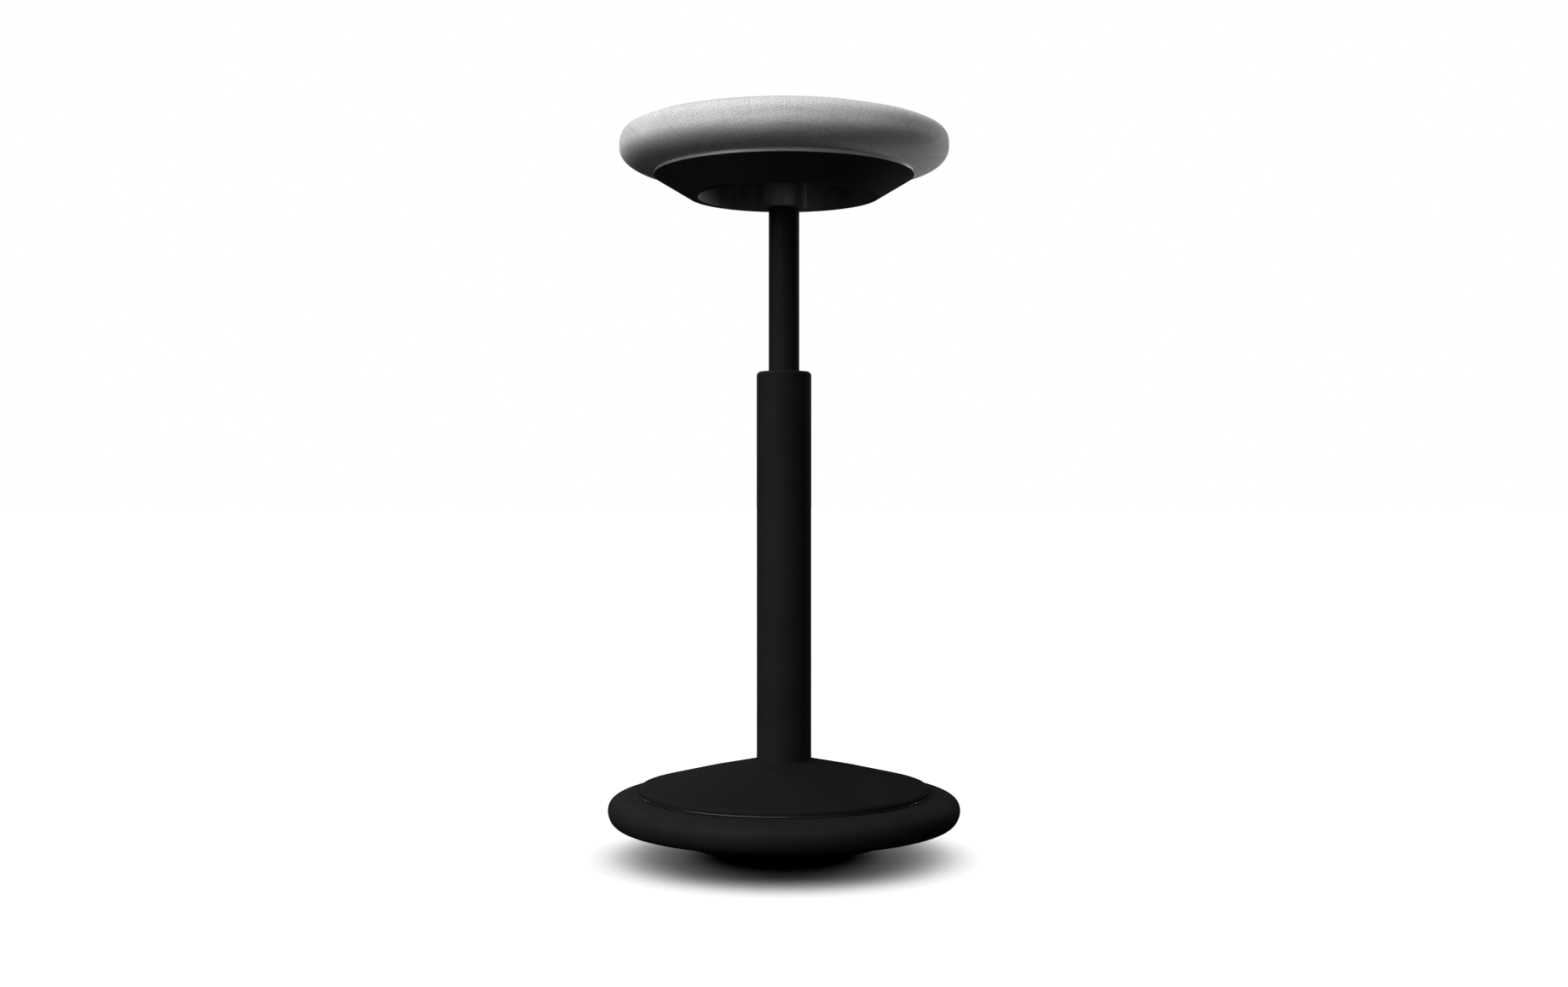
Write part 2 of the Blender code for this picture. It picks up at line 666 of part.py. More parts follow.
def make_bearing(base, swivel):
    """Two races with a ball ring between them, and the clip that keeps the rod down."""
    lower = washer_shape(race_inner_radius, race_radius, race_foot, RACE_THICKNESS, SMALL_STEPS)
    piece("lower_race", lower, "bright_steel", base)
    upper = washer_shape(race_inner_radius, race_radius, upper_race_foot, RACE_THICKNESS, SMALL_STEPS)
    piece("upper_race", upper, "bright_steel", swivel)
    places = around(BALL_COUNT, ball_circle, 0.0, ball_height)
    repeated("bearing_ball", ball(BALL_RADIUS), "bright_steel", swivel, places)
    pocket = polygon_bore(BALL_RADIUS, FASTENER_STEPS)
    cage_foot = ball_height - CAGE_THICKNESS / 2
    reach = pocket + CAGE_MARGIN
    cage = washer_shape(ball_circle - reach, ball_circle + reach, cage_foot, CAGE_THICKNESS, SMALL_STEPS)
    cage = piece("ball_cage", cage, "bearing_plastic", swivel)
    overshoot = CAGE_THICKNESS
    pockets = copies(lambda: rod_shape(pocket, -overshoot, overshoot, FASTENER_STEPS), places)
    combine(cage, "cage_pockets", pockets, "DIFFERENCE")
    hole = polygon_bore(ROD_RADIUS, SMALL_STEPS)
    buffer_foot = collar_foot + ROD_COLLAR_HEIGHT + SEAT_GAP
    buffer = washer_shape(hole, ROD_RADIUS + BUFFER_WIDTH, buffer_foot, BUFFER_HEIGHT, SMALL_STEPS)
    piece("rubber_buffer", buffer, "black_rubber", swivel)
    washer = washer_shape(hole, ROD_RADIUS + WASHER_WIDTH, washer_foot, WASHER_THICKNESS, SMALL_STEPS)
    piece("clip_washer", washer, "zinc_steel", swivel)
    groove = polygon_bore(ROD_RADIUS - CLIP_GROOVE_DEPTH, SMALL_STEPS)
    clip_radius = ROD_RADIUS + CLIP_WIDTH
    clip = washer_shape(groove, clip_radius, clip_foot, CLIP_THICKNESS, SMALL_STEPS)
    clip = piece("retaining_clip", clip, "bright_steel", swivel)
    low = (-CLIP_MOUTH / 2, 0, clip_foot - CUTTER_OVERSHOOT)
    high = (CLIP_MOUTH / 2, 2 * clip_radius, clip_foot + CUTTER_OVERSHOOT)
    combine(clip, "clip_mouth", block(low, high), "DIFFERENCE")


# Inner parts of the gas spring
rod_guide_foot = spring_foot + SPRING_WALL + SEAT_GAP
rod_seal_foot = rod_guide_foot + ROD_GUIDE_HEIGHT + SEAT_GAP
piston_foot = rod_seal_foot + ROD_SEAL_HEIGHT + PISTON_RUN
piston_nut_foot = piston_foot + PISTON_HEIGHT + SEAT_GAP


def make_rod(swivel):
    """Piston rod from the clip below the bearing up to the piston, with the piston on it."""
    groove_radius = ROD_RADIUS - CLIP_GROOVE_DEPTH
    groove_foot = clip_foot - SEAT_GAP
    groove_top = clip_foot + CLIP_THICKNESS + SEAT_GAP
    step = piston_foot - SEAT_GAP
    tip = piston_nut_foot + PISTON_NUT_HEIGHT + SEAT_GAP
    outline = [
        (0, groove_foot - ROD_TAIL),
        (ROD_RADIUS, groove_foot - ROD_TAIL),
        (ROD_RADIUS, groove_foot),
        (groove_radius, groove_foot),
        (groove_radius, groove_top),
        (ROD_RADIUS, groove_top),
        (ROD_RADIUS, collar_foot),
        (ROD_RADIUS + ROD_COLLAR_WIDTH, collar_foot),
        (ROD_RADIUS + ROD_COLLAR_WIDTH, collar_foot + ROD_COLLAR_HEIGHT),
        (ROD_RADIUS, collar_foot + ROD_COLLAR_HEIGHT),
        (ROD_RADIUS, step),
        (rod_thread_radius, step),
        (rod_thread_radius, tip),
        (0, tip),
    ]
    piece("piston_rod", turned(outline, SMALL_STEPS), "bright_steel", swivel)
    bore = polygon_bore(rod_thread_radius, SMALL_STEPS)
    piston_radius = spring_bore - SEAT_GAP
    groove = piston_radius - PISTON_GROOVE_DEPTH
    middle = piston_foot + PISTON_HEIGHT / 2
    low = middle - PISTON_GROOVE_HEIGHT / 2
    high = middle + PISTON_GROOVE_HEIGHT / 2
    top = piston_foot + PISTON_HEIGHT
    outline = [
        (bore, piston_foot), (piston_radius, piston_foot), (piston_radius, low), (groove, low),
        (groove, high), (piston_radius, high), (piston_radius, top), (bore, top),
    ]
    piece("piston", turned(outline, SMALL_STEPS), "zinc_steel", swivel)
    seal_foot = low + SEAT_GAP
    seal_height = PISTON_GROOVE_HEIGHT - 2 * SEAT_GAP
    seal = washer_shape(groove + SEAT_GAP, piston_radius, seal_foot, seal_height, SMALL_STEPS)
    piece("piston_seal", seal, "black_rubber", swivel)
    nut_bore = polygon_bore(rod_thread_radius, HEX)
    nut_radius = rod_thread_radius + PISTON_NUT_WIDTH
    nut = washer_shape(nut_bore, nut_radius, piston_nut_foot, PISTON_NUT_HEIGHT, HEX)
    piece("piston_nut", nut, "zinc_steel", swivel)


def make_gas_spring(seat):
    """Pressure tube tapered into the hub, its lower guide and seal, and the valve body."""
    pin_hole = polygon_bore(PIN_RADIUS, SMALL_STEPS)
    valve_bore = spring_radius_at(spring_top) - SPRING_WALL - SEAT_GAP
    valve_foot = spring_top - SPRING_WALL - SEAT_GAP - VALVE_HEIGHT
    step = valve_foot - VALVE_CHAMBER_GAP
    outline = [
        (spring_bore - SPRING_END_LIP, spring_foot),
        (SPRING_RADIUS, spring_foot),
        (SPRING_RADIUS, hub_foot),
        (spring_radius_at(spring_top), spring_top),
        (pin_hole, spring_top),
        (pin_hole, spring_top - SPRING_WALL),
        (valve_bore, spring_top - SPRING_WALL),
        (valve_bore, step),
        (spring_bore, step - SPRING_WALL),
        (spring_bore, spring_foot + SPRING_WALL),
        (spring_bore - SPRING_END_LIP, spring_foot + SPRING_WALL),
    ]
    piece("gas_cylinder", turned(outline, MEDIUM_STEPS), "black_paint", seat, hub_foot)
    plug = spring_bore - SEAT_GAP
    rod_hole = polygon_bore(ROD_RADIUS, SMALL_STEPS)
    guide = washer_shape(rod_hole, plug, rod_guide_foot, ROD_GUIDE_HEIGHT, SMALL_STEPS)
    piece("rod_guide", guide, "bearing_plastic", seat, hub_foot)
    seal = washer_shape(rod_hole, plug, rod_seal_foot, ROD_SEAL_HEIGHT, SMALL_STEPS)
    piece("rod_seal", seal, "black_rubber", seat, hub_foot)
    valve = washer_shape(pin_hole, valve_bore - SEAT_GAP, valve_foot, VALVE_HEIGHT, SMALL_STEPS)
    piece("valve_body", valve, "zinc_steel", seat, hub_foot)


def make_pin(pin_slide):
    """Valve pin whose head the three levers press."""
    head_top = lift_head_top
    head_foot = head_top - PIN_HEAD_HEIGHT
    foot = spring_top - PIN_REACH
    outline = [
        (0, foot), (PIN_RADIUS, foot), (PIN_RADIUS, head_foot), (PIN_HEAD_RADIUS, head_foot),
        (PIN_HEAD_RADIUS, head_top), (0, head_top),
    ]
    piece("release_pin", turned(outline, SMALL_STEPS), "bright_steel", pin_slide, head_top)


# Hub, plate and levers
def lever_places(radius, height):
    """The lever stations on a circle, each with +X outward."""
    return around(LEVER_COUNT, radius, FIRST_LEVER_ANGLE, height)


def make_hub(seat):
    """Steel socket under the plate, slotted at its top for the levers' inner ends."""
    slot_floor = lever_axis - LEVER_THICKNESS / 2 - pin_travel - RUNNING_GAP
    bore_foot = polygon_bore(SPRING_RADIUS, MEDIUM_STEPS)
    bore_top = polygon_bore(spring_radius_at(spring_top), MEDIUM_STEPS)
    top = plate_foot - SEAT_GAP
    outline = [
        (bore_foot, hub_foot),
        (HUB_RADIUS - HUB_CHAMFER, hub_foot),
        (HUB_RADIUS, hub_foot + HUB_CHAMFER),
        (HUB_RADIUS, top),
        (SPRING_RADIUS + SPRING_WALL, top),
        (SPRING_RADIUS + SPRING_WALL, spring_top),
        (bore_top, spring_top - SPRING_WALL),
    ]
    hub = piece("taper_hub", turned(outline, MEDIUM_STEPS), "black_paint", seat, hub_foot)
    half = LEVER_WIDTH / 2 + 2 * LEVER_SIDE_GAP
    low = (SPRING_RADIUS / 2, -half, slot_floor)
    high = (2 * HUB_RADIUS, half, plate_top)
    slots = copies(lambda: block(low, high), lever_places(0, 0))
    combine(hub, "hub_slots", slots, "DIFFERENCE")


def bolt_places():
    """Bolt axes on their circle."""
    return around(BOLT_COUNT, bolt_circle, 180 / BOLT_COUNT)


def pan_screw_places():
    """Pan screw axes, midway between the levers."""
    first = FIRST_LEVER_ANGLE + 180 / LEVER_COUNT
    return around(LEVER_COUNT, pan_screw_circle, first)


lug_inner = LEVER_WIDTH / 2 + LEVER_SIDE_GAP
lug_outer = lug_inner + LUG_THICKNESS


def upright(shape):
    """Turns a shape drawn along Z so that it lies along Y."""
    shape.transform(Matrix.Rotation(math.pi / 2, 4, "X"))
    return shape


def lug_shape(side):
    """One lug of the plate, round about the lever pin, on the given side of the lever."""
    arch = []
    for turn in spaced(math.pi, 2 * math.pi, HALF_ROUND_POINTS):
        arch.append((LUG_RADIUS * math.cos(turn), LUG_RADIUS * math.sin(turn)))
    top = plate_foot + PLATE_THICKNESS / 2 - lever_axis
    outline = arch + [(LUG_RADIUS, top), (-LUG_RADIUS, top)]
    ends = sorted((-side * lug_inner, -side * lug_outer))
    return upright(slab(outline, *ends))


def make_plate(seat):
    """Pressed steel plate with a pair of lugs for each lever."""
    plate_shape = washer_shape(PLATE_HOLE_RADIUS, plate_radius, plate_foot, PLATE_THICKNESS, MEDIUM_STEPS)
    plate = piece("seat_plate", plate_shape, "zinc_steel", seat, hub_foot)
    pivots = lever_places(LEVER_PIVOT_CIRCLE, lever_axis)
    for side, side_name in ((-1, "left"), (1, "right")):
        lugs = copies(lambda: lug_shape(side), pivots)
        combine(plate, side_name + "_lugs", lugs, "UNION")
    pin_hole = polygon_bore(LEVER_PIN_RADIUS, FASTENER_STEPS)
    reach = 2 * lug_outer
    pin_holes = copies(lambda: upright(rod_shape(pin_hole, -reach, reach, FASTENER_STEPS)), pivots)
    combine(plate, "lug_holes", pin_holes, "DIFFERENCE")
    low = plate_foot - CUTTER_OVERSHOOT
    high = plate_top + CUTTER_OVERSHOOT
    bolt_hole = polygon_bore(BOLT_RADIUS, FASTENER_STEPS)
    holes = copies(lambda: rod_shape(bolt_hole, low, high, FASTENER_STEPS), bolt_places())
    combine(plate, "plate_bolt_holes", holes, "DIFFERENCE")
    screw_hole = polygon_bore(SCREW_RADIUS, FASTENER_STEPS)
    holes = copies(lambda: rod_shape(screw_hole, low, high, FASTENER_STEPS), pan_screw_places())
    combine(plate, "plate_screw_holes", holes, "DIFFERENCE")


def lever_outline():
    """The lever seen from above, with half-round ends."""
    half = LEVER_WIDTH / 2
    tip = -lever_inner_arm
    end = lever_end_arm - half
    points = [(tip, half), (tip, -half)]
    for turn in spaced(-math.pi / 2, math.pi / 2, HALF_ROUND_POINTS):
        points.append((end + half * math.cos(turn), half * math.sin(turn)))
    return points


def make_levers(seat):
    """Three rockers, each with its pin in the plate's lugs."""
    for number, place in enumerate(lever_places(LEVER_PIVOT_CIRCLE, lever_axis), start=1):
        pivot = axis_point("lever_axis_%d" % number, seat, place)
        half = LEVER_THICKNESS / 2
        name = "rocker_lever_%d" % number
        bar = finished_mesh(name, slab(lever_outline(), -half, half), "zinc_steel")
        lever = link(name, bar, pivot, place)
        width = LEVER_WIDTH / 2
        eye = upright(rod_shape(LEVER_EYE_RADIUS, -width, width, SMALL_STEPS))
        eye.transform(place)
        combine(lever, "lever_eye_%d" % number, eye, "UNION")
        hole = polygon_bore(LEVER_PIN_RADIUS, FASTENER_STEPS)
        bore = upright(rod_shape(hole, -LEVER_WIDTH, LEVER_WIDTH, FASTENER_STEPS))
        bore.transform(place)
        combine(lever, "lever_bore_%d" % number, bore, "DIFFERENCE")
    reach = lug_outer + SEAT_GAP
    outline = [
        (0, -reach - LEVER_PIN_HEAD), (LEVER_PIN_HEAD_RADIUS, -reach - LEVER_PIN_HEAD),
        (LEVER_PIN_HEAD_RADIUS, -reach), (LEVER_PIN_RADIUS, -reach),
        (LEVER_PIN_RADIUS, reach + LEVER_PIN_HEAD), (0, reach + LEVER_PIN_HEAD),
    ]
    pin = upright(turned(outline, FASTENER_STEPS))
    repeated("lever_pin", pin, "bright_steel", seat, lever_places(LEVER_PIVOT_CIRCLE, lever_axis))


# Release ring
def make_release_ring(ring_slide):
    """Hollow cone round the hub, hung on three screws, with the trim on its rim."""
    lean = math.hypot(1, cone_lean)
    rim_inner = ring_rim_radius - RING_WALL * lean
    floor = ring_foot + RING_WALL
    trough = ring_foot_radius + RING_WALL * cone_lean - RING_WALL * lean
    inner_wall = recess_radius + RING_WALL
    outline = [
        (recess_radius, ring_foot + RING_EDGE_ROUNDING),
        (recess_radius + RING_EDGE_ROUNDING, ring_foot),
        (ring_foot_radius - RING_EDGE_ROUNDING, ring_foot),
        (ring_foot_radius + RING_EDGE_ROUNDING, ring_foot + RING_EDGE_ROUNDING / cone_lean),
        (ring_rim_radius, ring_rim),
        (rim_inner, ring_rim),
        (trough, floor),
        (inner_wall, floor),
        (inner_wall, ring_wall_top),
        (recess_radius, ring_wall_top),
    ]
    ring = piece("release_ring", turned(outline, FINE_STEPS), "black_plastic", ring_slide, ring_foot)
    places = lever_places(lift_circle, 0)
    boss_foot = ring_foot + RING_WALL / 2
    bosses = copies(lambda: rod_shape(RING_BOSS_RADIUS, boss_foot, ring_wall_top, FASTENER_STEPS), places)
    combine(ring, "ring_bosses", bosses, "UNION")
    pilot = polygon_bore(LIFT_SCREW_RADIUS, FASTENER_STEPS)
    pilot_foot = ring_wall_top - RING_SCREW_DEPTH - SEAT_GAP
    pilots = copies(lambda: rod_shape(pilot, pilot_foot, pan_floor, FASTENER_STEPS), places)
    combine(ring, "ring_pilots", pilots, "DIFFERENCE")
    head_foot = pan_floor + SEAT_GAP
    screw = [
        (0, ring_wall_top - RING_SCREW_DEPTH),
        (LIFT_SCREW_RADIUS, ring_wall_top - RING_SCREW_DEPTH),
        (LIFT_SCREW_RADIUS, head_foot),
        (SCREW_HEAD_RADIUS, head_foot),
        (SCREW_HEAD_RADIUS, (head_foot + lift_head_top) / 2),
        (SCREW_HEAD_RADIUS / 2, lift_head_top),
        (0, lift_head_top),
    ]
    repeated("ring_screw", turned(screw, FASTENER_STEPS), "zinc_steel", ring_slide, places)
    outer = ring_rim_radius - TRIM_INSET
    inner = outer - TRIM_WIDTH
    foot = ring_rim + SEAT_GAP
    top = foot + TRIM_HEIGHT
    trim = [
        (inner, foot), (outer, foot), (outer, top - TRIM_CHAMFER),
        (outer - TRIM_CHAMFER, top), (inner, top),
    ]
    piece("ring_trim", turned(trim, FINE_STEPS), "trim_grey", ring_slide, ring_foot)


# Seat pan, board and cushion
def make_pan(seat):
    """Dish that closes the lever space, with three bosses for its screws."""
    outer = ring_rim_radius - PAN_INSET
    hub_hole = polygon_bore(HUB_RADIUS, MEDIUM_STEPS)
    top = board_foot - SEAT_GAP
    outline = [
        (hub_hole, pan_foot), (outer, pan_foot), (outer, top),
        (outer - PAN_WALL, top), (outer - PAN_WALL, pan_floor), (hub_hole, pan_floor),
    ]
    pan = piece("seat_pan", turned(outline, FINE_STEPS), "black_plastic", seat, hub_foot)
    places = pan_screw_places()
    boss_top = plate_foot - SEAT_GAP
    boss_foot = pan_foot + PAN_WALL / 2
    bosses = copies(lambda: rod_shape(PAN_BOSS_RADIUS, boss_foot, boss_top, FASTENER_STEPS), places)
    combine(pan, "pan_bosses", bosses, "UNION")
    hole = polygon_bore(SCREW_RADIUS, FASTENER_STEPS)
    holes = copies(lambda: rod_shape(hole, ring_rim, board_top, FASTENER_STEPS), places)
    combine(pan, "pan_screw_holes", holes, "DIFFERENCE")
    hole = polygon_bore(LIFT_SCREW_RADIUS, FASTENER_STEPS, RUNNING_GAP)
    stations = lever_places(lift_circle, 0)
    holes = copies(lambda: rod_shape(hole, ring_rim, board_top, FASTENER_STEPS), stations)
    combine(pan, "pan_lift_holes", holes, "DIFFERENCE")
    head_top = pan_foot - SEAT_GAP
    screw = [
        (0, head_top - SCREW_HEAD), (SCREW_HEAD_RADIUS, head_top - SCREW_HEAD),
        (SCREW_HEAD_RADIUS, head_top), (SCREW_RADIUS, head_top),
        (SCREW_RADIUS, plate_top), (0, plate_top),
    ]
    repeated("pan_screw", turned(screw, FASTENER_STEPS), "zinc_steel", seat, places)


def make_board(seat):
    """Plywood board with tee nuts let into its top, and the bolts that hold the plate."""
    outline = [
        (0, board_foot), (board_radius, board_foot), (board_radius, board_top - BOARD_BEVEL),
        (board_radius - BOARD_BEVEL, board_top), (0, board_top),
    ]
    board = piece("seat_board", turned(outline, FINE_STEPS), "plywood", seat, hub_foot)
    thread = polygon_bore(BOLT_RADIUS, FASTENER_STEPS)
    barrel = thread + TEE_NUT_WALL
    flange_foot = board_top - TEE_NUT_FLANGE - SEAT_GAP
    barrel_hole = polygon_bore(barrel, FASTENER_STEPS)
    flange_hole = polygon_bore(TEE_NUT_FLANGE_RADIUS, FASTENER_STEPS)
    low = board_foot - CUTTER_OVERSHOOT
    step = flange_foot - SEAT_GAP
    high = board_top + CUTTER_OVERSHOOT
    hole = [
        (0, low), (barrel_hole, low), (barrel_hole, step),
        (flange_hole, step), (flange_hole, high), (0, high),
    ]
    holes = copies(lambda: turned(hole, FASTENER_STEPS), bolt_places())
    combine(board, "board_holes", holes, "DIFFERENCE")
    nut_foot = board_foot + TEE_NUT_FLANGE
    nut_top = flange_foot + TEE_NUT_FLANGE
    nut = [
        (thread, nut_foot), (barrel, nut_foot), (barrel, flange_foot),
        (TEE_NUT_FLANGE_RADIUS, flange_foot), (TEE_NUT_FLANGE_RADIUS, nut_top), (thread, nut_top),
    ]
    repeated("tee_nut", turned(nut, FASTENER_STEPS), "zinc_steel", seat, bolt_places())
    head_top = plate_foot - SEAT_GAP
    bolt = [
        (0, head_top - BOLT_HEAD), (BOLT_HEAD_RADIUS, head_top - BOLT_HEAD),
        (BOLT_HEAD_RADIUS, head_top), (BOLT_RADIUS, head_top),
        (BOLT_RADIUS, nut_top), (0, nut_top),
    ]
    repeated("plate_bolt", turned(bolt, FASTENER_STEPS), "zinc_steel", seat, bolt_places())


def make_cushion(seat):
    """Crowned foam pad over the board, and the fabric cover drawn in to its hem."""
    face = cushion_outline(CUSHION_UPPER_POINTS, CUSHION_LOWER_POINTS)
    hem_top = board_foot - SEAT_GAP
    inside = inset_cushion(face, FABRIC_THICKNESS)
    cover = face + [(hem_radius, hem_top), (hem_radius + FABRIC_THICKNESS, hem_top)] + inside[::-1]
    piece("seat_cover", turned(cover, FINE_STEPS), "seat_fabric", seat, hub_foot)
    depth = FABRIC_THICKNESS + SEAT_GAP
    foam = inset_cushion(face, depth)
    pocket_radius = board_radius + SEAT_GAP
    foam += [
        (hem_radius + depth, hem_top),
        (pocket_radius, hem_top),
        (pocket_radius, board_top + SEAT_GAP),
        (0, board_top + SEAT_GAP),
    ]
    piece("seat_foam", turned(foam, FINE_STEPS), "seat_foam", seat, hub_foot)


clear_scene()
materials = {name: finish(name, *look) for name, look in FINISHES.items()}

base = axis_point("stool_origin", None, Matrix())
swivel = axis_point("swivel_axis", base, Matrix.Translation((0, 0, column_floor_top)))
seat = axis_point("seat_axis", swivel, Matrix.Translation((0, 0, hub_foot)))
ring_slide = axis_point("ring_axis", seat, Matrix.Translation((0, 0, ring_foot)))
pin_slide = axis_point("pin_axis", seat, Matrix.Translation((0, 0, lift_head_top)))

make_sole(base)
make_weight(base)
make_bumper(base)
make_cover(base)
make_column(base)
make_guide(base)
make_bearing(base, swivel)
make_rod(swivel)
make_gas_spring(seat)
make_pin(pin_slide)
make_hub(seat)
make_plate(seat)
make_levers(seat)
make_release_ring(ring_slide)
make_pan(seat)
make_board(seat)
make_cushion(seat)
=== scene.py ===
"""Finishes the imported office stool: fine turned surfaces, a settled cushion and its materials.

Every piece is a surface worked out from a section, in metres and in the stool's own frame.
"""
import json
import math

import bpy
import numpy as np
from bpy.props import FloatProperty, FloatVectorProperty, IntProperty, PointerProperty
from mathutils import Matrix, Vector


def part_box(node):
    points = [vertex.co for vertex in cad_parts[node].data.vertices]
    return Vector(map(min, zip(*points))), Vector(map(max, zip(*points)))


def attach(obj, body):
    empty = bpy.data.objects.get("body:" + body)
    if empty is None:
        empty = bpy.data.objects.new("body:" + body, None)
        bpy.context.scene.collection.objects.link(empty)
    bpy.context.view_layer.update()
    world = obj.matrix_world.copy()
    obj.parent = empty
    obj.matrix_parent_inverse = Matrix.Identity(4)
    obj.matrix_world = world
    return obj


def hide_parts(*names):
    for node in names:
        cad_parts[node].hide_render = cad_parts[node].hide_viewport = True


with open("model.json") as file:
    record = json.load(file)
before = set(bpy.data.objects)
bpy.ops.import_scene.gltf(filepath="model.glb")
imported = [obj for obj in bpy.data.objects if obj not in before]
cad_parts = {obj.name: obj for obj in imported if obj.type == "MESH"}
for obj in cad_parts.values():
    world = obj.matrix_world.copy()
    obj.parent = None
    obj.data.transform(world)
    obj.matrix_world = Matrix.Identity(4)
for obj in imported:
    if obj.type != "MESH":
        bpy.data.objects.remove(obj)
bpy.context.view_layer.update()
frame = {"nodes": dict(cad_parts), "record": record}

bl_info = {
    "name": "Perching stool",
    "version": (1, 0, 0),
    "blender": (4, 5, 0),
    "location": "3D View > Sidebar > Stool",
    "description": "Builds the finish of a perching stool round its packed parts",
    "category": "Object",
}

# The photograph's camera, as a level pinhole on the stool's -Y side
FRAME_WIDTH = 1840
FOCAL_PIXELS = 2105.4
SENSOR_WIDTH = 36.0
CAMERA_DISTANCE = 1.6399
CAMERA_HEIGHT = 0.330
CAMERA_CLIP = 200.0

# Suns by their bearing from the seat's middle, which is degrees to the camera's right, degrees up
# and metres away, and by their width in degrees
SEAT_MIDDLE = 0.64
KEY_BEARING = (-48.0, 45.0, 2.0)
KEY_WIDTH = 73.0
FLOOR_LIGHT_BEARING = (180.0, 66.0, 2.0)
FLOOR_LIGHT_WIDTH = 165.0

# Panels by the same bearing, and metres across
LOW_PANEL = (18.0, -18.0, 2.2, 2.0)
FRONT_SPARK = (-40.0, -10.0, 2.2, 0.8)
RIGHT_PANEL = (138.0, -10.0, 2.0, 0.7)
RIGHT_SPARK = (133.0, 9.0, 2.0, 0.15)
LEFT_SPARK = (-156.0, 9.0, 2.0, 0.15)

# Half the floor's width, the radius within which its colour is painted black as contact
# shadow, and the radius beyond which it is clear of that painted shadow
FLOOR_REACH = 40.0
PAINTED_SHADOW_CORE = 0.058
PAINTED_SHADOW_REACH = 0.098

# Turned surfaces: steps of a fillet, of a long curve and round a boss, and the largest angle in
# degrees that is shaded smooth
FILLET_STEPS = 6
CURVE_STEPS = 40
BOSS_STEPS = 32
SMOOTH_ANGLE = 40.0
CUSHION_SMOOTH_ANGLE = 60.0

# Clearances between neighbouring pieces
SEAT_GAP = 0.0003
RUNNING_GAP = 0.0004

# Walls, and places that no packed box gives. Bosses and slots are given by how many there are
# round the axis and by the bearing of the first, in degrees
TUBE_WALL = 0.0025
TUBE_FLOOR = 0.004
TUBE_TAPER = 0.0014
TUBE_TAPER_TOP = 0.080
ROD_HOLE = 0.0055
SPRING_WALL = 0.0016
SPRING_TAPER = 0.00098
SPRING_LIP = 0.009
PIN_HOLE = 0.0034
VALVE_ROOM = 0.036
CAP_FLANGE = 0.0022
CAP_CHAMFER = 0.0022
CAP_MOUTH_WIDTH = 0.0004
CAP_MOUTH_DEPTH = 0.0006
HUB_CHAMFER = 0.0009
HUB_SLOTS = (3, 90.0)
HUB_SLOT_WIDTH = 0.008
HUB_SLOT_FLOOR = 0.63215
CONE_FOOT_RADIUS = 0.0866
CONE_RECESS_RADIUS = 0.0783
CONE_RIM_HEIGHT = 0.0188
CONE_WALL = 0.0025
RING_DROP = 0.0009
BAND_WIDTH = 0.0027
BAND_CHAMFER = 0.0006
LIFT_CIRCLE = 0.083
LIFT_BOSS = 0.004
LIFT_BOSSES = (3, 90.0)
LIFT_PILOT = 0.003
LIFT_PILOT_DEPTH = 0.0123
COVER_WALL = 0.0026
COVER_COLLAR = 0.0253
COVER_SHOULDER = 0.131
COVER_EDGE_HEIGHT = 0.0063
COVER_LIP = 0.0005
COVER_MIDDLE = 0.080
COVER_SWELL = 0.0008
COVER_BOSS_CIRCLE = 0.100
COVER_BOSS = 0.005
COVER_BOSSES = (4, 45.0)
BOSS_CLEARANCE = 0.00015
SOLE_SPHERE = 0.308
SOLE_PATCH = 0.022
SOLE_WALL = 0.005
BUMPER_WIDEST = 0.0424
BUMPER_SHOULDER = 0.1248
BUMPER_UPPER_POWERS = (3.5, 2.45)
BUMPER_LOWER_POWERS = (5.0, 1.65)
BUMPER_LOWER_STEPS = 32
BUMPER_BORE = 0.1186
BUMPER_LIP = 0.110
BUMPER_LIP_FOOT = 0.0383
CUSHION_WIDEST_RISE = 0.0214
CUSHION_CROWN = 0.0129
CUSHION_SIDE_POWER = 19
CUSHION_TOP_POWER = 3.4
CUSHION_SPACING = 0.0016
CUSHION_STEPS = (240, 200)
CUSHION_CROWDING = 2.3
HEM_RADIUS = 0.1197
HEM_MARGIN = 0.0005
HEM_DEPTH = 0.002
UNDERSIDE_MIDDLE = 0.0978
UNDERSIDE_SAG = 0.0011
UNDERSIDE_POWERS = (2.6, 2.2)
POCKET_GAP = 0.0003

# The pad that is swollen to settle the cushion: steps around, size of its squares, height held at
# its floor, frames, pressure and cloth. Then the height over which the settling sets in, how far
# a movement is carried, and how many points at a time
PAD_STEPS = 96
PAD_SQUARE = 0.005
PAD_HELD = 0.004
PAD_FRAMES = 20
PAD_PRESSURE = 4.0
PAD_CLOTH = {"quality": 6, "mass": 0.3, "tension_stiffness": 20.0,
             "compression_stiffness": 20.0, "shear_stiffness": 8.0, "bending_stiffness": 0.6}
SETTLE_RISE = 0.010
CARRY_REACH = 0.010
CARRY_BATCH = 2000

# How far beyond the piece's own radius a rim's gloss or the recess's painted light changes,
# the roughness of the cover's rubbed rim, and colours that a user has no need to set
RIM_MARGIN = 0.0001
RECESS_MARGIN = 0.0003
RIM_GLOSS = 0.2
# Grey painted inside the ring's recess as the light that reaches it
RECESS_PAINTED_LIGHT = (0.15, 0.15, 0.152)
CAP_BLACK = (0.012, 0.012, 0.012)
DUST = (0.09, 0.085, 0.08, 1.0)
RUST_BLOOM = (0.16, 0.075, 0.035, 1.0)
AGED_FOAM = (0.62, 0.48, 0.24, 1.0)


def node_size(node):
    """Largest radius, lowest height and highest height of a packed round piece."""
    low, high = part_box(node)
    return float(high.x), float(low.z), float(high.z)


# Sections: arrays of (radius, height), walked with the material on the left


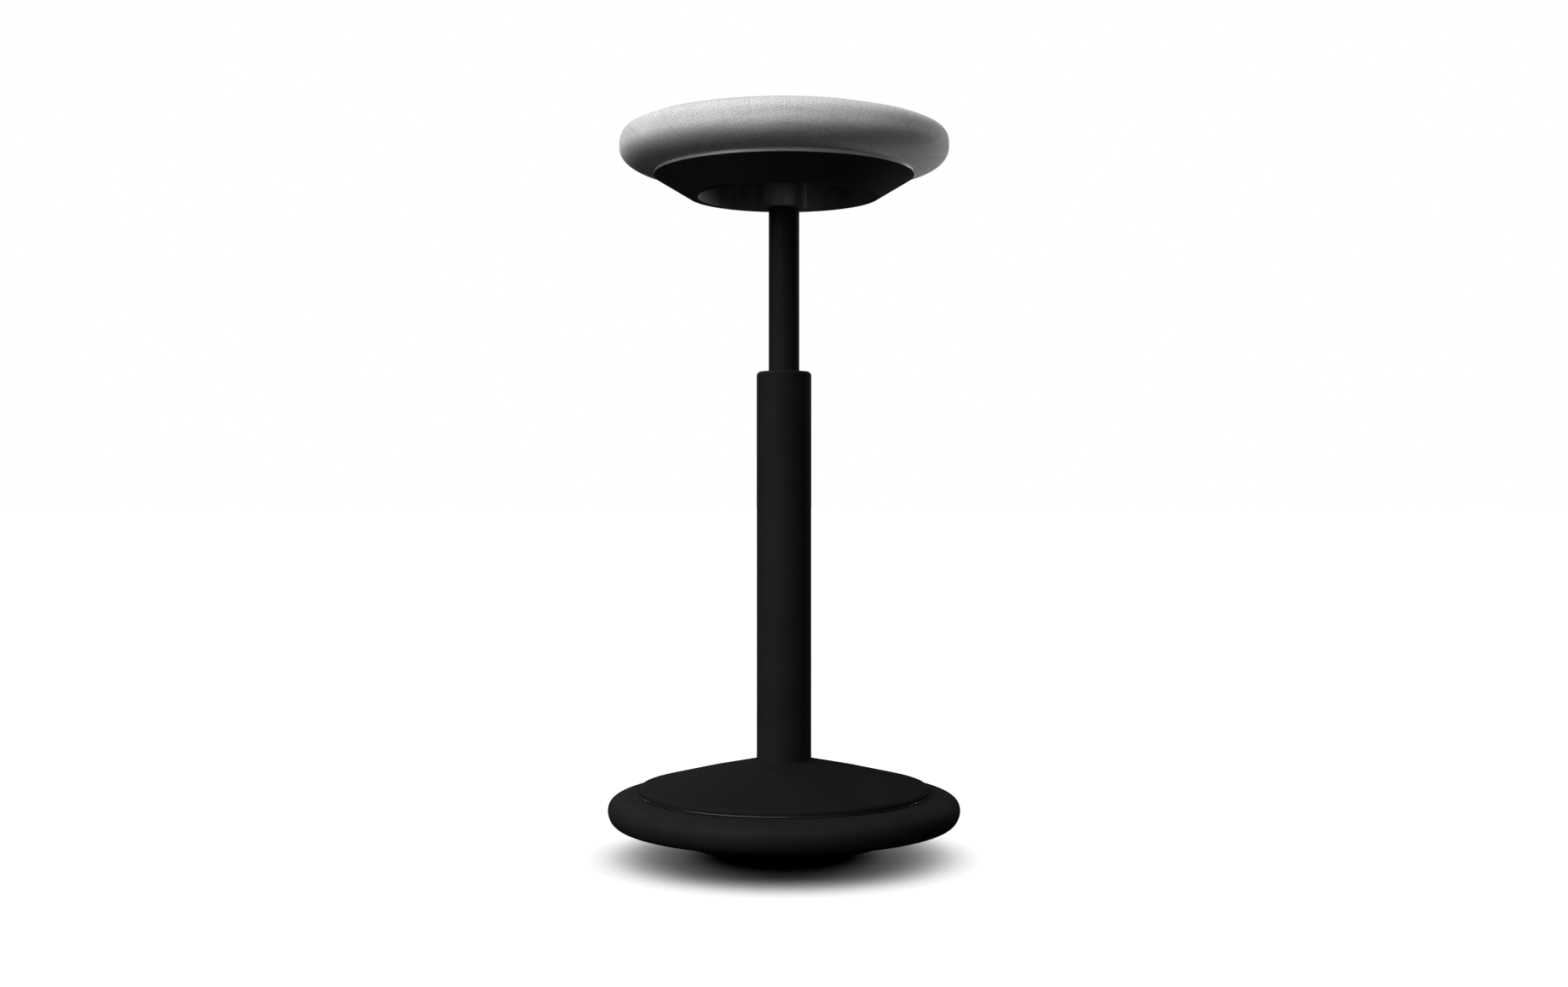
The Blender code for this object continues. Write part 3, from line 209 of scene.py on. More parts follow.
def filleted(corners):
    """Section through (radius, height, fillet) corners.

    A fillet is the arc that touches both sides. With h half the corner's angle it starts
    fillet / tan h from the corner, and its centre lies fillet / sin h along the bisector. A guard
    point on each side keeps the shading of the straight runs even.
    """
    corners = np.array(corners, float)
    places, fillets = corners[:, :2], corners[:, 2]
    parts = []
    for index, (place, fillet) in enumerate(zip(places, fillets)):
        if fillet == 0:
            parts.append(place[None])
            continue
        back = places[index - 1] - place
        ahead = places[(index + 1) % len(places)] - place
        back /= np.linalg.norm(back)
        ahead /= np.linalg.norm(ahead)
        half = math.acos(float(back @ ahead)) / 2
        cut = fillet / math.tan(half)
        middle = back + ahead
        centre = place + middle / np.linalg.norm(middle) * fillet / math.sin(half)
        first = place + back * cut - centre
        last = place + ahead * cut - centre
        start = math.atan2(first[1], first[0])
        sweep = math.atan2(first[0] * last[1] - first[1] * last[0], float(first @ last))
        turn = start + sweep * np.linspace(0, 1, FILLET_STEPS + 1)
        arc = centre + fillet * np.stack([np.cos(turn), np.sin(turn)], -1)
        guard = 0.3 * fillet
        parts += [place[None] + back * (cut + guard), arc, place[None] + ahead * (cut + guard)]
    return np.vstack(parts)


def superellipse(widest, end, out_power, up_power, count):
    """Quarter curve from the widest point to the end: the radius goes with cos^(2 / out_power)
    of a turn from 0 to 90 degrees and the height with sin^(2 / up_power) of it."""
    turn = np.linspace(0, np.pi / 2, count)
    across = np.clip(np.cos(turn), 0, 1) ** (2 / out_power)
    along = np.sin(turn) ** (2 / up_power)
    radius = end[0] + (widest[0] - end[0]) * across
    height = widest[1] + (end[1] - widest[1]) * along
    return np.stack([radius, height], -1)


def lathe(section, steps):
    """Points and faces of a surface of revolution.

    Point (s, a) is (r(s) cos a, r(s) sin a, z(s)). A section whose ends lie on the axis gets one
    pole at each end, and any other section is joined end to start.
    """
    angle = np.arange(steps) * 2 * np.pi / steps
    poles = section[0, 0] == 0
    rings = section[1:-1] if poles else section
    radius, height = rings[:, :1], rings[:, 1:]
    across = [radius * np.cos(angle), radius * np.sin(angle), height + 0 * angle]
    points = np.stack(across, -1).reshape(-1, 3)
    count = len(rings)
    rows = count - 1 if poles else count
    row, column = np.meshgrid(np.arange(rows), np.arange(steps), indexing="ij")
    above, beside = (row + 1) % count, (column + 1) % steps
    quads = np.stack([row * steps + column, row * steps + beside,
                      above * steps + beside, above * steps + column], -1)
    faces = quads.reshape(-1, 4).tolist()
    if poles:
        around = np.arange(steps)
        after = (around + 1) % steps
        top = (count - 1) * steps
        first = np.full(steps, len(points))
        faces += np.stack([first, after, around], -1).tolist()
        faces += np.stack([top + around, top + after, first + 1], -1).tolist()
        ends = [[0, 0, section[0, 1]], [0, 0, section[-1, 1]]]
        points = np.vstack([points, ends])
    return points, faces


def smooth(mesh, angle=SMOOTH_ANGLE):
    """Shades a mesh smooth, but for edges that turn more than an angle in degrees."""
    mesh.shade_smooth()
    mesh.set_sharp_from_angle(angle=math.radians(angle))


def mesh_object(name, points, faces):
    """A smooth-shaded object of points and faces, at the origin."""
    mesh = bpy.data.meshes.new(name)
    mesh.from_pydata(np.asarray(points).tolist(), [], faces)
    smooth(mesh)
    thing = bpy.data.objects.new(name, mesh)
    bpy.context.scene.collection.objects.link(thing)
    return thing


def settle_object(thing, body, slot, *nodes, finish=None):
    """Gives a finished piece its body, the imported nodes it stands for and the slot's material,
    unless it has a finish to itself."""
    thing.data.materials.clear()
    thing.data.materials.append(finishes()[finish or slot])
    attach(thing, body)
    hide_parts(*nodes)


def turned_piece(name, section, body, slot, *nodes):
    """A piece that is a surface of revolution and nothing more."""
    thing = mesh_object(name, *lathe(section, bpy.context.scene.stool_sizes.around))
    settle_object(thing, body, slot, *nodes)


def apply_modifiers(thing):
    """Puts the result of a piece's modifiers in its mesh's place."""
    graph = bpy.context.evaluated_depsgraph_get()
    mesh = bpy.data.meshes.new_from_object(thing.evaluated_get(graph))
    thing.modifiers.clear()
    thing.data = mesh


def combine(thing, operation, points, faces):
    """Joins a closed surface to a piece, or cuts it away."""
    tool = mesh_object("tool", points, faces)
    modifier = thing.modifiers.new("joint", "BOOLEAN")
    modifier.operation = operation
    modifier.solver = "EXACT"
    modifier.object = tool
    apply_modifiers(thing)
    bpy.data.objects.remove(tool)
    smooth(thing.data)


def around_axis(points, faces, count, first_angle):
    """Copies of a surface, turned about the Z axis: x cos a - y sin a and x sin a + y cos a."""
    turn = math.radians(first_angle) + np.arange(count) * 2 * np.pi / count
    cos, sin = np.cos(turn)[:, None], np.sin(turn)[:, None]
    x, y = points[:, 0] * cos - points[:, 1] * sin, points[:, 0] * sin + points[:, 1] * cos
    z = np.broadcast_to(points[:, 2], x.shape)
    every = np.stack([x, y, z], -1).reshape(-1, 3)
    shifted = [[corner + copy * len(points) for corner in face]
               for copy in range(count) for face in faces]
    return every, shifted


def bosses(section, circle, count, first_angle):
    """Round posts spread round a circle: each is a section turned about an upright line."""
    points, faces = lathe(np.array(section), BOSS_STEPS)
    points[:, 0] += circle
    return around_axis(points, faces, count, first_angle)


def box_surface(low, high):
    """A box: each corner is low + c (high - low), with every part of c either 0 or 1."""
    low, high = np.array(low, float), np.array(high, float)
    corner = np.array([[x, y, z] for x in (0, 1) for y in (0, 1) for z in (0, 1)], float)
    faces = [[0, 1, 3, 2], [4, 6, 7, 5], [0, 4, 5, 1], [2, 3, 7, 6], [0, 2, 6, 4], [1, 5, 7, 3]]
    return low + corner * (high - low), faces


# Materials


class Term:
    """A changing value in a material; each operator on it adds the Math node that works it out."""

    def __init__(self, tree, socket):
        self.tree = tree
        self.socket = socket

    def apply(self, operation, *terms):
        node = self.tree.nodes.new("ShaderNodeMath")
        node.operation = operation
        for socket, term in zip(node.inputs, terms):
            if isinstance(term, Term):
                self.tree.links.new(term.socket, socket)
            else:
                socket.default_value = term
        return Term(self.tree, node.outputs[0])

    def __add__(self, other):
        return self.apply("ADD", self, other)

    __radd__ = __add__

    def __sub__(self, other):
        return self.apply("SUBTRACT", self, other)

    def __rsub__(self, other):
        return self.apply("SUBTRACT", other, self)

    def __mul__(self, other):
        return self.apply("MULTIPLY", self, other)

    __rmul__ = __mul__

    def __truediv__(self, other):
        return self.apply("DIVIDE", self, other)

    def __rtruediv__(self, other):
        return self.apply("DIVIDE", other, self)

    def __gt__(self, other):
        return self.apply("GREATER_THAN", self, other)

    def __abs__(self):
        return self.apply("ABSOLUTE", self)

    def sine(self):
        return self.apply("SINE", self)

    def floor(self):
        return self.apply("FLOOR", self)

    def root(self):
        return self.apply("SQRT", self)


class Finish:
    """A material built up round its Principled shader."""

    def __init__(self, name, roughness=0.5, metallic=0.0, sheen=0.0, specular=0.5):
        self.material = bpy.data.materials.new(name)
        self.material.use_nodes = True
        self.tree = self.material.node_tree
        self.shader = self.tree.nodes["Principled BSDF"]
        for socket, value in (("Roughness", roughness), ("Metallic", metallic),
                              ("Sheen Weight", sheen), ("Specular IOR Level", specular)):
            self.shader.inputs[socket].default_value = value

    def node(self, kind, settings=None, sockets=None, out=0):
        """Adds any node but a Math node: first its settings, then its sockets' values or links."""
        node = self.tree.nodes.new(kind)
        for key, value in (settings or {}).items():
            setattr(node, key, value)
        for key, value in (sockets or {}).items():
            if isinstance(value, Term):
                self.tree.links.new(value.socket, node.inputs[key])
            else:
                node.inputs[key].default_value = value
        return Term(self.tree, node.outputs[out])

    def feed(self, socket, term):
        """Links a changing value to the shader."""
        self.tree.links.new(term.socket, self.shader.inputs[socket])

    def place(self):
        """Coordinates on the object, in metres."""
        return self.node("ShaderNodeTexCoord", out="Object")

    def parts(self, vector):
        """The three components of a vector."""
        first = self.node("ShaderNodeSeparateXYZ", None, {0: vector})
        return [Term(self.tree, output) for output in first.socket.node.outputs]

    def joined(self, x, y, z):
        """A vector of three components."""
        return self.node("ShaderNodeCombineXYZ", None, {0: x, 1: y, 2: z})

    def noise(self, vector, grain, detail=3.0, roughness=0.5):
        """Noise from 0 to 1 whose grain is so many metres across."""
        values = {"Vector": vector, "Scale": 1 / grain, "Detail": detail, "Roughness": roughness}
        return self.node("ShaderNodeTexNoise", None, values)

    def cells(self, vector, grain):
        """Distance to the nearest of scattered points that lie so many metres apart."""
        return self.node("ShaderNodeTexVoronoi", None, {"Vector": vector, "Scale": 1 / grain})

    def random(self, vector):
        """An unrelated number from 0 to 1 at each vector."""
        return self.node("ShaderNodeTexWhiteNoise", None, {"Vector": vector})

    def span(self, value, low, high, to_low=0.0, to_high=1.0):
        """The value mapped from one span to another, and held inside it."""
        values = {0: value, 1: low, 2: high, 3: to_low, 4: to_high}
        return self.node("ShaderNodeMapRange", None, values)

    def mix(self, factor, first, second):
        """A colour between two, by a factor from 0 to 1."""
        values = {0: factor, 6: first, 7: second}
        return self.node("ShaderNodeMix", {"data_type": "RGBA"}, values, 2)

    def tones(self, value, low, high, colour, dark, light):
        """A colour that goes from darker to lighter as the value goes from low to high."""
        return self.mix(self.span(value, low, high), shade(colour, dark), shade(colour, light))

    def bump(self, height, depth, strength):
        """Feeds a surface relief, whose full height is so many metres deep."""
        values = {"Height": height, "Distance": depth, "Strength": strength}
        self.feed("Normal", self.node("ShaderNodeBump", None, values))


def shade(colour, factor):
    """A colour made lighter or darker, with full alpha."""
    return (*[channel * factor for channel in colour[:3]], 1.0)


def from_axis(x, y):
    """Distance from the stool's axis."""
    return (x * x + y * y).root()


def woven_cloth(colour, pitch):
    """Plain weave of heathered yarn on the cloth's own coordinates.

    With u and v counted in threads, sin(pi u) sin(pi v) is above 0 where the warp lies on top and
    below 0 where the weft does, and its size is the relief of the crossing. Where it is near 0, in
    the hollows between threads, the colour is darkened as painted shade.
    """
    cloth = Finish("woven_cloth", roughness=0.82, sheen=0.18, specular=0.25)
    cloth.shader.inputs["Sheen Roughness"].default_value = 0.45
    across = cloth.node("ShaderNodeUVMap", {"uv_map": "cloth"})
    u, v, _ = cloth.parts(across)
    warp, weft = u / pitch, v / pitch
    crossing = (warp * math.pi).sine() * (weft * math.pi).sine()
    on_top = crossing > 0.0
    warp_tone = cloth.random(cloth.joined(warp.floor(), 3.0, 1.0))
    weft_tone = cloth.random(cloth.joined(7.0, weft.floor(), 2.0))
    thread_tone = weft_tone + on_top * (warp_tone - weft_tone)
    slub = cloth.noise(cloth.joined(u, v * 0.2, 0.0), 0.0016, 2.0)
    heather = cloth.noise(across, 0.0013, 2.0, 0.6)
    cloud = cloth.noise(across, 0.055, 2.0)
    tone = 0.12 * thread_tone + 0.06 * slub + 0.82 * heather
    speckle = cloth.tones(tone, 0.34, 0.66, colour, 0.60, 1.28)
    warm = (colour[0] * 1.04, colour[1] * 0.99, colour[2] * 0.99, 1.0)
    fibres = cloth.mix(cloth.span(cloud, 0.42, 0.72, 0.0, 0.3), speckle, warm)
    # Painted shade: the colour darkens where the crossing is low, in the hollows between threads
    painted_weave_shade = cloth.span(abs(crossing), 0.0, 0.35, 0.22, 0.0)
    cloth.feed("Base Color", cloth.mix(painted_weave_shade, fibres, shade(colour, 0.45)))
    cloth.feed("Roughness", cloth.span(heather, 0.3, 0.7, 0.76, 0.9))
    relief = abs(crossing) * 0.7 + 0.2 * slub + 0.8 * heather
    cloth.bump(relief, 0.00020, 0.6)
    return cloth.material


def moulded_plastic(name, colour, roughness, specular, grain=0.0009, depth=0.00006,
                    bore=None, rim=None):
    """Moulded plastic with a spark-eroded grain, flow clouds and fine handling marks.

    A bore is a radius, and a paler colour painted within it as light in the recess, with upright
    streaks in that painted light. A rim is a radius beyond which it is rubbed glossy.
    """
    plastic = Finish(name, specular=specular)
    place = plastic.place()
    fine = plastic.noise(place, grain, 4.0, 0.6)
    cloud = plastic.noise(place, 0.045, 3.0)
    x, y, z = plastic.parts(place)
    marks = plastic.noise(plastic.joined(x, y * 0.1, z), 0.0016, 5.0, 0.7)
    rubbed = plastic.span(marks, 0.66, 0.74)
    body = plastic.tones(0.6 * fine + 0.4 * cloud, 0.35, 0.65, colour, 0.82, 1.2)
    radius = from_axis(x, y)
    # Painted light: within the bore the colour turns to a paler grey with upright streaks
    if bore:
        reach, pale = bore
        drawn = plastic.noise(plastic.joined(x / radius, y / radius, z * 2.0), 0.16, 3.0)
        painted_recess_light = plastic.tones(drawn, 0.3, 0.7, pale, 0.8, 1.2)
        body = plastic.mix(plastic.span(radius, reach, reach + 0.0005, 1.0, 0.0), body, painted_recess_light)
    if rim:
        plastic.feed("Coat Weight", plastic.span(radius, rim, rim + 0.0002))
        plastic.shader.inputs["Coat Roughness"].default_value = RIM_GLOSS
    plastic.feed("Base Color", plastic.mix(rubbed * 0.35, body, shade(colour, 1.9)))
    change = plastic.span(cloud, 0.3, 0.7, roughness - 0.05, roughness + 0.05)
    plastic.feed("Roughness", change - rubbed * 0.08)
    plastic.bump(fine, depth, 0.6)
    return plastic.material


def powder_coat(name, colour, roughness, specular, streak=0.0):
    """Powder paint: shallow orange peel, pin-sized specks and, where worn, upright streaks."""
    paint = Finish(name, specular=specular)
    place = paint.place()
    x, y, z = paint.parts(place)
    peel = paint.noise(place, 0.0011, 2.0)
    cloud = paint.noise(place, 0.05, 2.0)
    specks = paint.span(paint.cells(place, 0.0035), 0.0, 0.10, 1.0, 0.0)
    worn = paint.span(paint.noise(paint.joined(x, y, z * 0.02), 0.0012, 3.0), 0.5, 0.75)
    base = paint.tones(cloud, 0.35, 0.65, colour, 0.9, 1.12)
    flecked = paint.mix(specks * 0.25, base, shade(colour, 1.8))
    paint.feed("Base Color", paint.mix(worn * streak, flecked, shade(colour, 1.5)))
    uneven = paint.span(peel, 0.3, 0.7, roughness - 0.04, roughness + 0.04)
    paint.feed("Roughness", uneven - worn * (streak * 0.3))
    paint.bump(peel + 0.25 * specks, 0.00006, 0.5)
    return paint.material


def soft_rubber(colour, roughness, dust):
    """Matt rubber with a fine stipple, and pale dust low down where it meets the floor."""
    rubber = Finish("soft_rubber", specular=0.06)
    place = rubber.place()
    _, _, z = rubber.parts(place)
    stipple = rubber.noise(place, 0.0007, 3.0, 0.6)
    cloud = rubber.noise(place, 0.03, 4.0, 0.6)
    low = rubber.span(z, 0.002, 0.024, 1.0, 0.0)
    powder = low * rubber.span(cloud, 0.42, 0.7) * dust
    body = rubber.tones(cloud, 0.3, 0.7, colour, 0.88, 1.14)
    rubber.feed("Base Color", rubber.mix(powder, body, DUST))
    rubber.feed("Roughness", rubber.span(stipple, 0.3, 0.7, roughness - 0.05, roughness + 0.05))
    rubber.bump(stipple, 0.00005, 0.5)
    return rubber.material


def satin_trim(colour, roughness):
    """Extruded band with faint lines drawn along it and small nicks."""
    band = Finish("satin_trim", specular=0.6)
    place = band.place()
    x, y, z = band.parts(place)
    drawn = band.noise(band.joined(x * 0.06, y * 0.06, z), 0.0004, 3.0)
    cloud = band.noise(place, 0.02, 3.0)
    nicks = band.span(band.noise(place, 0.0021, 5.0, 0.7), 0.68, 0.76)
    tone = band.tones(0.5 * drawn + 0.5 * cloud, 0.35, 0.65, colour, 0.9, 1.1)
    band.feed("Base Color", band.mix(nicks * 0.3, tone, shade(colour, 0.5)))
    band.feed("Roughness", band.span(drawn, 0.3, 0.7, roughness - 0.04, roughness + 0.06))
    band.bump(drawn, 0.00002, 0.4)
    return band.material


def turned_steel(colour, roughness):
    """Ground steel with fine rings round the stool's axis."""
    steel = Finish("turned_steel", metallic=1.0)
    place = steel.place()
    x, y, z = steel.parts(place)
    rings = steel.noise(steel.joined(from_axis(x, y), z, 0.0), 0.0003, 2.0)
    cloud = steel.noise(place, 0.012, 3.0)
    steel.feed("Base Color", steel.tones(cloud, 0.3, 0.7, colour, 0.9, 1.08))
    steel.feed("Roughness", steel.span(rings, 0.3, 0.7, roughness - 0.06, roughness + 0.08))
    steel.bump(rings, 0.00001, 0.4)
    return steel.material


def plated_steel(colour, roughness):
    """Zinc plating with its small crystals and a faint yellow cast in places."""
    zinc = Finish("plated_steel", metallic=1.0)
    place = zinc.place()
    crystal = zinc.cells(place, 0.0022)
    cloud = zinc.noise(place, 0.009, 3.0)
    cool = zinc.tones(crystal, 0.0, 0.8, colour, 0.86, 1.1)
    cast = (colour[0] * 1.08, colour[1] * 1.02, colour[2] * 0.86, 1.0)
    zinc.feed("Base Color", zinc.mix(zinc.span(cloud, 0.5, 0.75, 0.0, 0.6), cool, cast))
    zinc.feed("Roughness", zinc.span(crystal, 0.0, 0.8, roughness - 0.05, roughness + 0.1))
    zinc.bump(cloud, 0.00002, 0.4)
    return zinc.material


def sand_cast_iron(colour):
    """Cast iron with a sand-mould skin and brown bloom."""
    iron = Finish("sand_cast_iron", metallic=0.7)
    place = iron.place()
    sand = iron.noise(place, 0.0009, 5.0, 0.65)
    bloom = iron.noise(place, 0.014, 4.0, 0.6)
    skin = iron.tones(sand, 0.3, 0.7, colour, 0.75, 1.3)
    patches = iron.span(bloom, 0.56, 0.72, 0.0, 0.7)
    iron.feed("Base Color", iron.mix(patches, skin, RUST_BLOOM))
    iron.feed("Roughness", iron.span(bloom, 0.4, 0.7, 0.55, 0.8))
    iron.bump(sand, 0.0002, 0.7)
    return iron.material


def plywood_board(colour, ply):
    """Birch plywood: stretched face grain, and alternate plies on the edge by height."""
    board = Finish("plywood_board", specular=0.3)
    place = board.place()
    x, y, z = board.parts(place)
    grain = board.noise(board.joined(x * 0.07, y, z * 0.07), 0.0024, 5.0, 0.65)
    figure = board.noise(board.joined(x * 0.25, y, 0.0), 0.03, 3.0)
    layer = ((z / ply) * math.pi).sine() > 0.0
    face = board.tones(0.7 * grain + 0.3 * figure, 0.35, 0.65, colour, 0.7, 1.3)
    board.feed("Base Color", board.mix(layer * 0.35, face, shade(colour, 0.6)))
    board.feed("Roughness", board.span(grain, 0.3, 0.7, 0.6, 0.75))
    board.bump(grain, 0.0001, 0.5)
    return board.material


def open_foam(colour):
    """Cut foam with open cells and light ageing."""
    foam = Finish("open_foam", specular=0.2)
    place = foam.place()
    cell = foam.cells(place, 0.0013)
    cloud = foam.noise(place, 0.03, 3.0)
    pale = foam.tones(cell, 0.0, 0.7, colour, 0.6, 1.1)
    aged = foam.span(cloud, 0.45, 0.75, 0.0, 0.4)
    foam.feed("Base Color", foam.mix(aged, pale, AGED_FOAM))
    foam.feed("Roughness", foam.span(cell, 0.0, 0.7, 1.0, 0.85))
    foam.bump(cell, 0.0004, 0.8)
    return foam.material


# What a user can set


def setting(name, description, default, most, least=0.0, unit="NONE"):
    """A number that a user can set."""
    return FloatProperty(name=name, description=description, default=default, min=least,
                         max=most, unit=unit, precision=5)


def colour_setting(name, description, *default):
    """A colour that a user can set, as linear red, green and blue."""
    return FloatVectorProperty(name=name, description=description, subtype="COLOR", size=3,
                               default=default, min=0.0, max=1.0)


class StoolSizes(bpy.types.PropertyGroup):
    """Sizes of the finish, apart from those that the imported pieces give."""

    around: IntProperty(
        name="Steps around", description="Steps of each turned surface round the axis",
        default=256, min=48, max=512)
    thread_pitch: setting(
        "Thread pitch", "Distance from one thread of the cloth to the next",
        0.0011, 0.005, 0.0003, "LENGTH")
    settle_inset: setting(
        "Settling inset", "How much smaller the cushion starts before it swells",
        0.0012, 0.01, unit="LENGTH")
    settle_limit: setting(
        "Settling limit", "Farthest that any point may move off the drawn section",
        0.0005, 0.02, unit="LENGTH")
    cover_edge_round: setting(
        "Cover edge", "Rounding of the cone cover's outer edge",
        0.0040, 0.0045, 0.0002, "LENGTH")


class StoolColours(bpy.types.PropertyGroup):
    """Colours of the finish."""

    cloth: colour_setting("Upholstery", "Middle colour of the cloth", 0.582, 0.575, 0.580)
    plastic: colour_setting("Black plastic", "Cone cover and seat pan", 0.0068, 0.0068, 0.0068)
    # Ring plastic is set lighter than the cover's black: painted light on a part the lamps barely
    # reach
    ring: colour_setting("Ring plastic", "Release ring", 0.024, 0.024, 0.024)
    paint: colour_setting("Black paint", "Column and gas spring", 0.0088, 0.0088, 0.0088)
    # Hub paint is set lighter than the column's black: painted light on a hub in the seat's shade
    hub: colour_setting("Hub paint", "Hub under the seat", 0.055, 0.055, 0.056)
    rubber: colour_setting("Rubber", "Bumper and sole of the foot", 0.0080, 0.0080, 0.0080)
    trim: colour_setting("Trim band", "Thin band above the ring", 0.62, 0.62, 0.62)


class StoolStage(bpy.types.PropertyGroup):
    """Levels of the studio light."""

    key: setting("Key light", "Wide soft light from the upper left", 4.7, 20.0)
    floor_light: setting("Floor light", "Wide light that falls on the floor alone", 4.7, 20.0)
    low: setting("Low panel", "Panel that lights the seat from below", 8.0, 500.0, unit="POWER")
    right: setting("Right panel", "Panel behind the right side", 31.0, 500.0, unit="POWER")
    sparks: setting(
        "Sparks", "Each small lamp that glints in the band and the hub", 1.8, 50.0, unit="POWER")
    ambient: setting("Ambient", "Even light from all around", 0.01, 1.0)
    reflected: setting("Reflected surroundings", "What glossy surfaces reflect", 0.05, 1.0)
    floor_tone: setting("Floor tone", "Paleness of the floor to all but the camera", 0.0115, 1.0)


# The stool's own finishes


FINISHES = {}


def finishes():
    """The stool's materials by record slot or by a piece's own finish, made once."""
    if FINISHES:
        return FINISHES
    colours = bpy.context.scene.stool_colours
    pitch = bpy.context.scene.stool_sizes.thread_pitch
    cover_rim = node_size("base_cover")[0] + RIM_MARGIN
    # The ring's recess gets a paler grey painted on as the light that reaches it
    recess_painted_light = (CONE_RECESS_RADIUS + RECESS_MARGIN, RECESS_PAINTED_LIGHT)
    FINISHES.update({
        "seat_fabric": woven_cloth(colours.cloth, pitch),
        "black_plastic": moulded_plastic("grained_plastic", colours.plastic, 0.60, 0.04),
        "cover_plastic": moulded_plastic(
            "cover_plastic", colours.plastic, 0.66, 0.03, rim=cover_rim),
        # The ring's plastic is lighter than the cover's, and paler still in its recess: both
        # painted light
        "ring_plastic_with_painted_light": moulded_plastic("ring_plastic_with_painted_light", colours.ring, 0.55, 0.10, bore=recess_painted_light),
        "cap_plastic": moulded_plastic("smooth_plastic", CAP_BLACK, 0.50, 0.1, 0.0015, 0.00002),
        "black_paint": powder_coat("powder_coat", colours.paint, 0.58, 0.05, 0.25),
        # A lighter copy of the black paint, as painted light on the shaded hub
        "hub_paint_with_painted_light": powder_coat("hub_paint_with_painted_light", colours.hub, 0.44, 1.00),
        "black_rubber": soft_rubber(colours.rubber, 0.72, 0.5),
        "trim_grey": satin_trim(colours.trim, 0.28),
        "bright_steel": turned_steel((0.60, 0.61, 0.62), 0.26),
        "zinc_steel": plated_steel((0.48, 0.49, 0.50), 0.36),
        "cast_iron": sand_cast_iron((0.09, 0.09, 0.095)),
        "plywood": plywood_board((0.50, 0.33, 0.18), 0.0015),
        "seat_foam": open_foam((0.78, 0.70, 0.46)),
        "bearing_plastic": moulded_plastic(
            "bearing_plastic", (0.70, 0.68, 0.62), 0.5, 0.5, 0.0012, 0.00003),
    })
    return FINISHES


# Operators, each with the functions that only it uses


class STOOL_OT_inner_pieces(bpy.types.Operator):
    """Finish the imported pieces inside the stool"""

    bl_idname = "stool.inner_pieces"
    bl_label = "Inner pieces"

    def execute(self, context):
        made = finishes()
        for row in frame["record"]["subparts"]:
            node = frame["nodes"][row["node"]]
            node.data.materials.clear()
            node.data.materials.append(made[row["material_slot"]])
        return {"FINISHED"}


class STOOL_OT_foot(bpy.types.Operator):
    """Build the rocking sole, the rubber bumper and the cone cover"""

    bl_idname = "stool.foot"
    bl_label = "Foot"

    def execute(self, context):
        sizes = context.scene.stool_sizes
        reach, _, _ = node_size("rocker_sole")
        inner_sphere = SOLE_SPHERE - SOLE_WALL
        centre = math.sqrt(SOLE_SPHERE**2 - SOLE_PATCH**2)
        out = np.linspace(SOLE_PATCH, reach, CURVE_STEPS)
        under = np.stack([out, centre - np.sqrt(SOLE_SPHERE**2 - out**2)], -1)
        back = out[::-1]
        upper = np.stack([back, centre - np.sqrt(inner_sphere**2 - back**2)], -1)
        floor = [[0, 0], [SOLE_PATCH / 2, 0]]
        roof = [[0, centre - inner_sphere]]
        section = np.vstack([floor, under, upper, roof])
        turned_piece("rocking_sole", section, "base", "black_rubber", "rocker_sole")

        radius, foot, top = node_size("base_bumper")
        widest = (radius, BUMPER_WIDEST)
        upper = superellipse(
            widest, (BUMPER_SHOULDER, top), *BUMPER_UPPER_POWERS, CURVE_STEPS)
        lower = superellipse(
            widest, (reach + SEAT_GAP, foot), *BUMPER_LOWER_POWERS, BUMPER_LOWER_STEPS)[::-1]
        bottom = centre - math.sqrt((inner_sphere - SEAT_GAP) ** 2 - BUMPER_BORE**2)
        lip = [[BUMPER_LIP, top], [BUMPER_LIP, BUMPER_LIP_FOOT], [BUMPER_BORE, BUMPER_LIP_FOOT],
               [BUMPER_BORE, bottom]]
        section = np.vstack([lower, upper[1:], lip])
        turned_piece("foot_bumper", section, "base", "black_rubber", "base_bumper")

        edge, _, collar_top = node_size("base_cover")
        edge_foot = top + SEAT_GAP
        shoulder = top + COVER_EDGE_HEIGHT
        fall = (collar_top - shoulder) / (COVER_SHOULDER - COVER_COLLAR)
        corner = collar_top - fall * (edge - COVER_COLLAR)
        inner = edge - COVER_WALL
        cover = mesh_object("cone_cover", *lathe(filleted([
            (inner, edge_foot, 0.0003),
            (edge + COVER_LIP, edge_foot, 0.0002),
            (edge + COVER_LIP, edge_foot + 2 * COVER_LIP, 0.0004),
            (edge, edge_foot + 2.5 * COVER_LIP, 0),
            (edge, corner, sizes.cover_edge_round),
            (COVER_MIDDLE, collar_top - fall * (COVER_MIDDLE - COVER_COLLAR) + COVER_SWELL, 0),
            (COVER_COLLAR, collar_top, 0.0005),
            (COVER_COLLAR, collar_top - COVER_WALL, 0),
            (inner, corner + fall * COVER_WALL - COVER_WALL, 0),
        ]), sizes.around))
        boss_out = COVER_BOSS_CIRCLE + COVER_BOSS
        boss_top = collar_top - fall * (boss_out - COVER_COLLAR) - BOSS_CLEARANCE
        combine(cover, "UNION", *bosses([
            [0, BUMPER_LIP_FOOT], [COVER_BOSS, BUMPER_LIP_FOOT], [COVER_BOSS, boss_top],
            [0, boss_top]], COVER_BOSS_CIRCLE, *COVER_BOSSES))
        settle_object(cover, "base", "black_plastic", "base_cover", finish="cover_plastic")
        return {"FINISHED"}


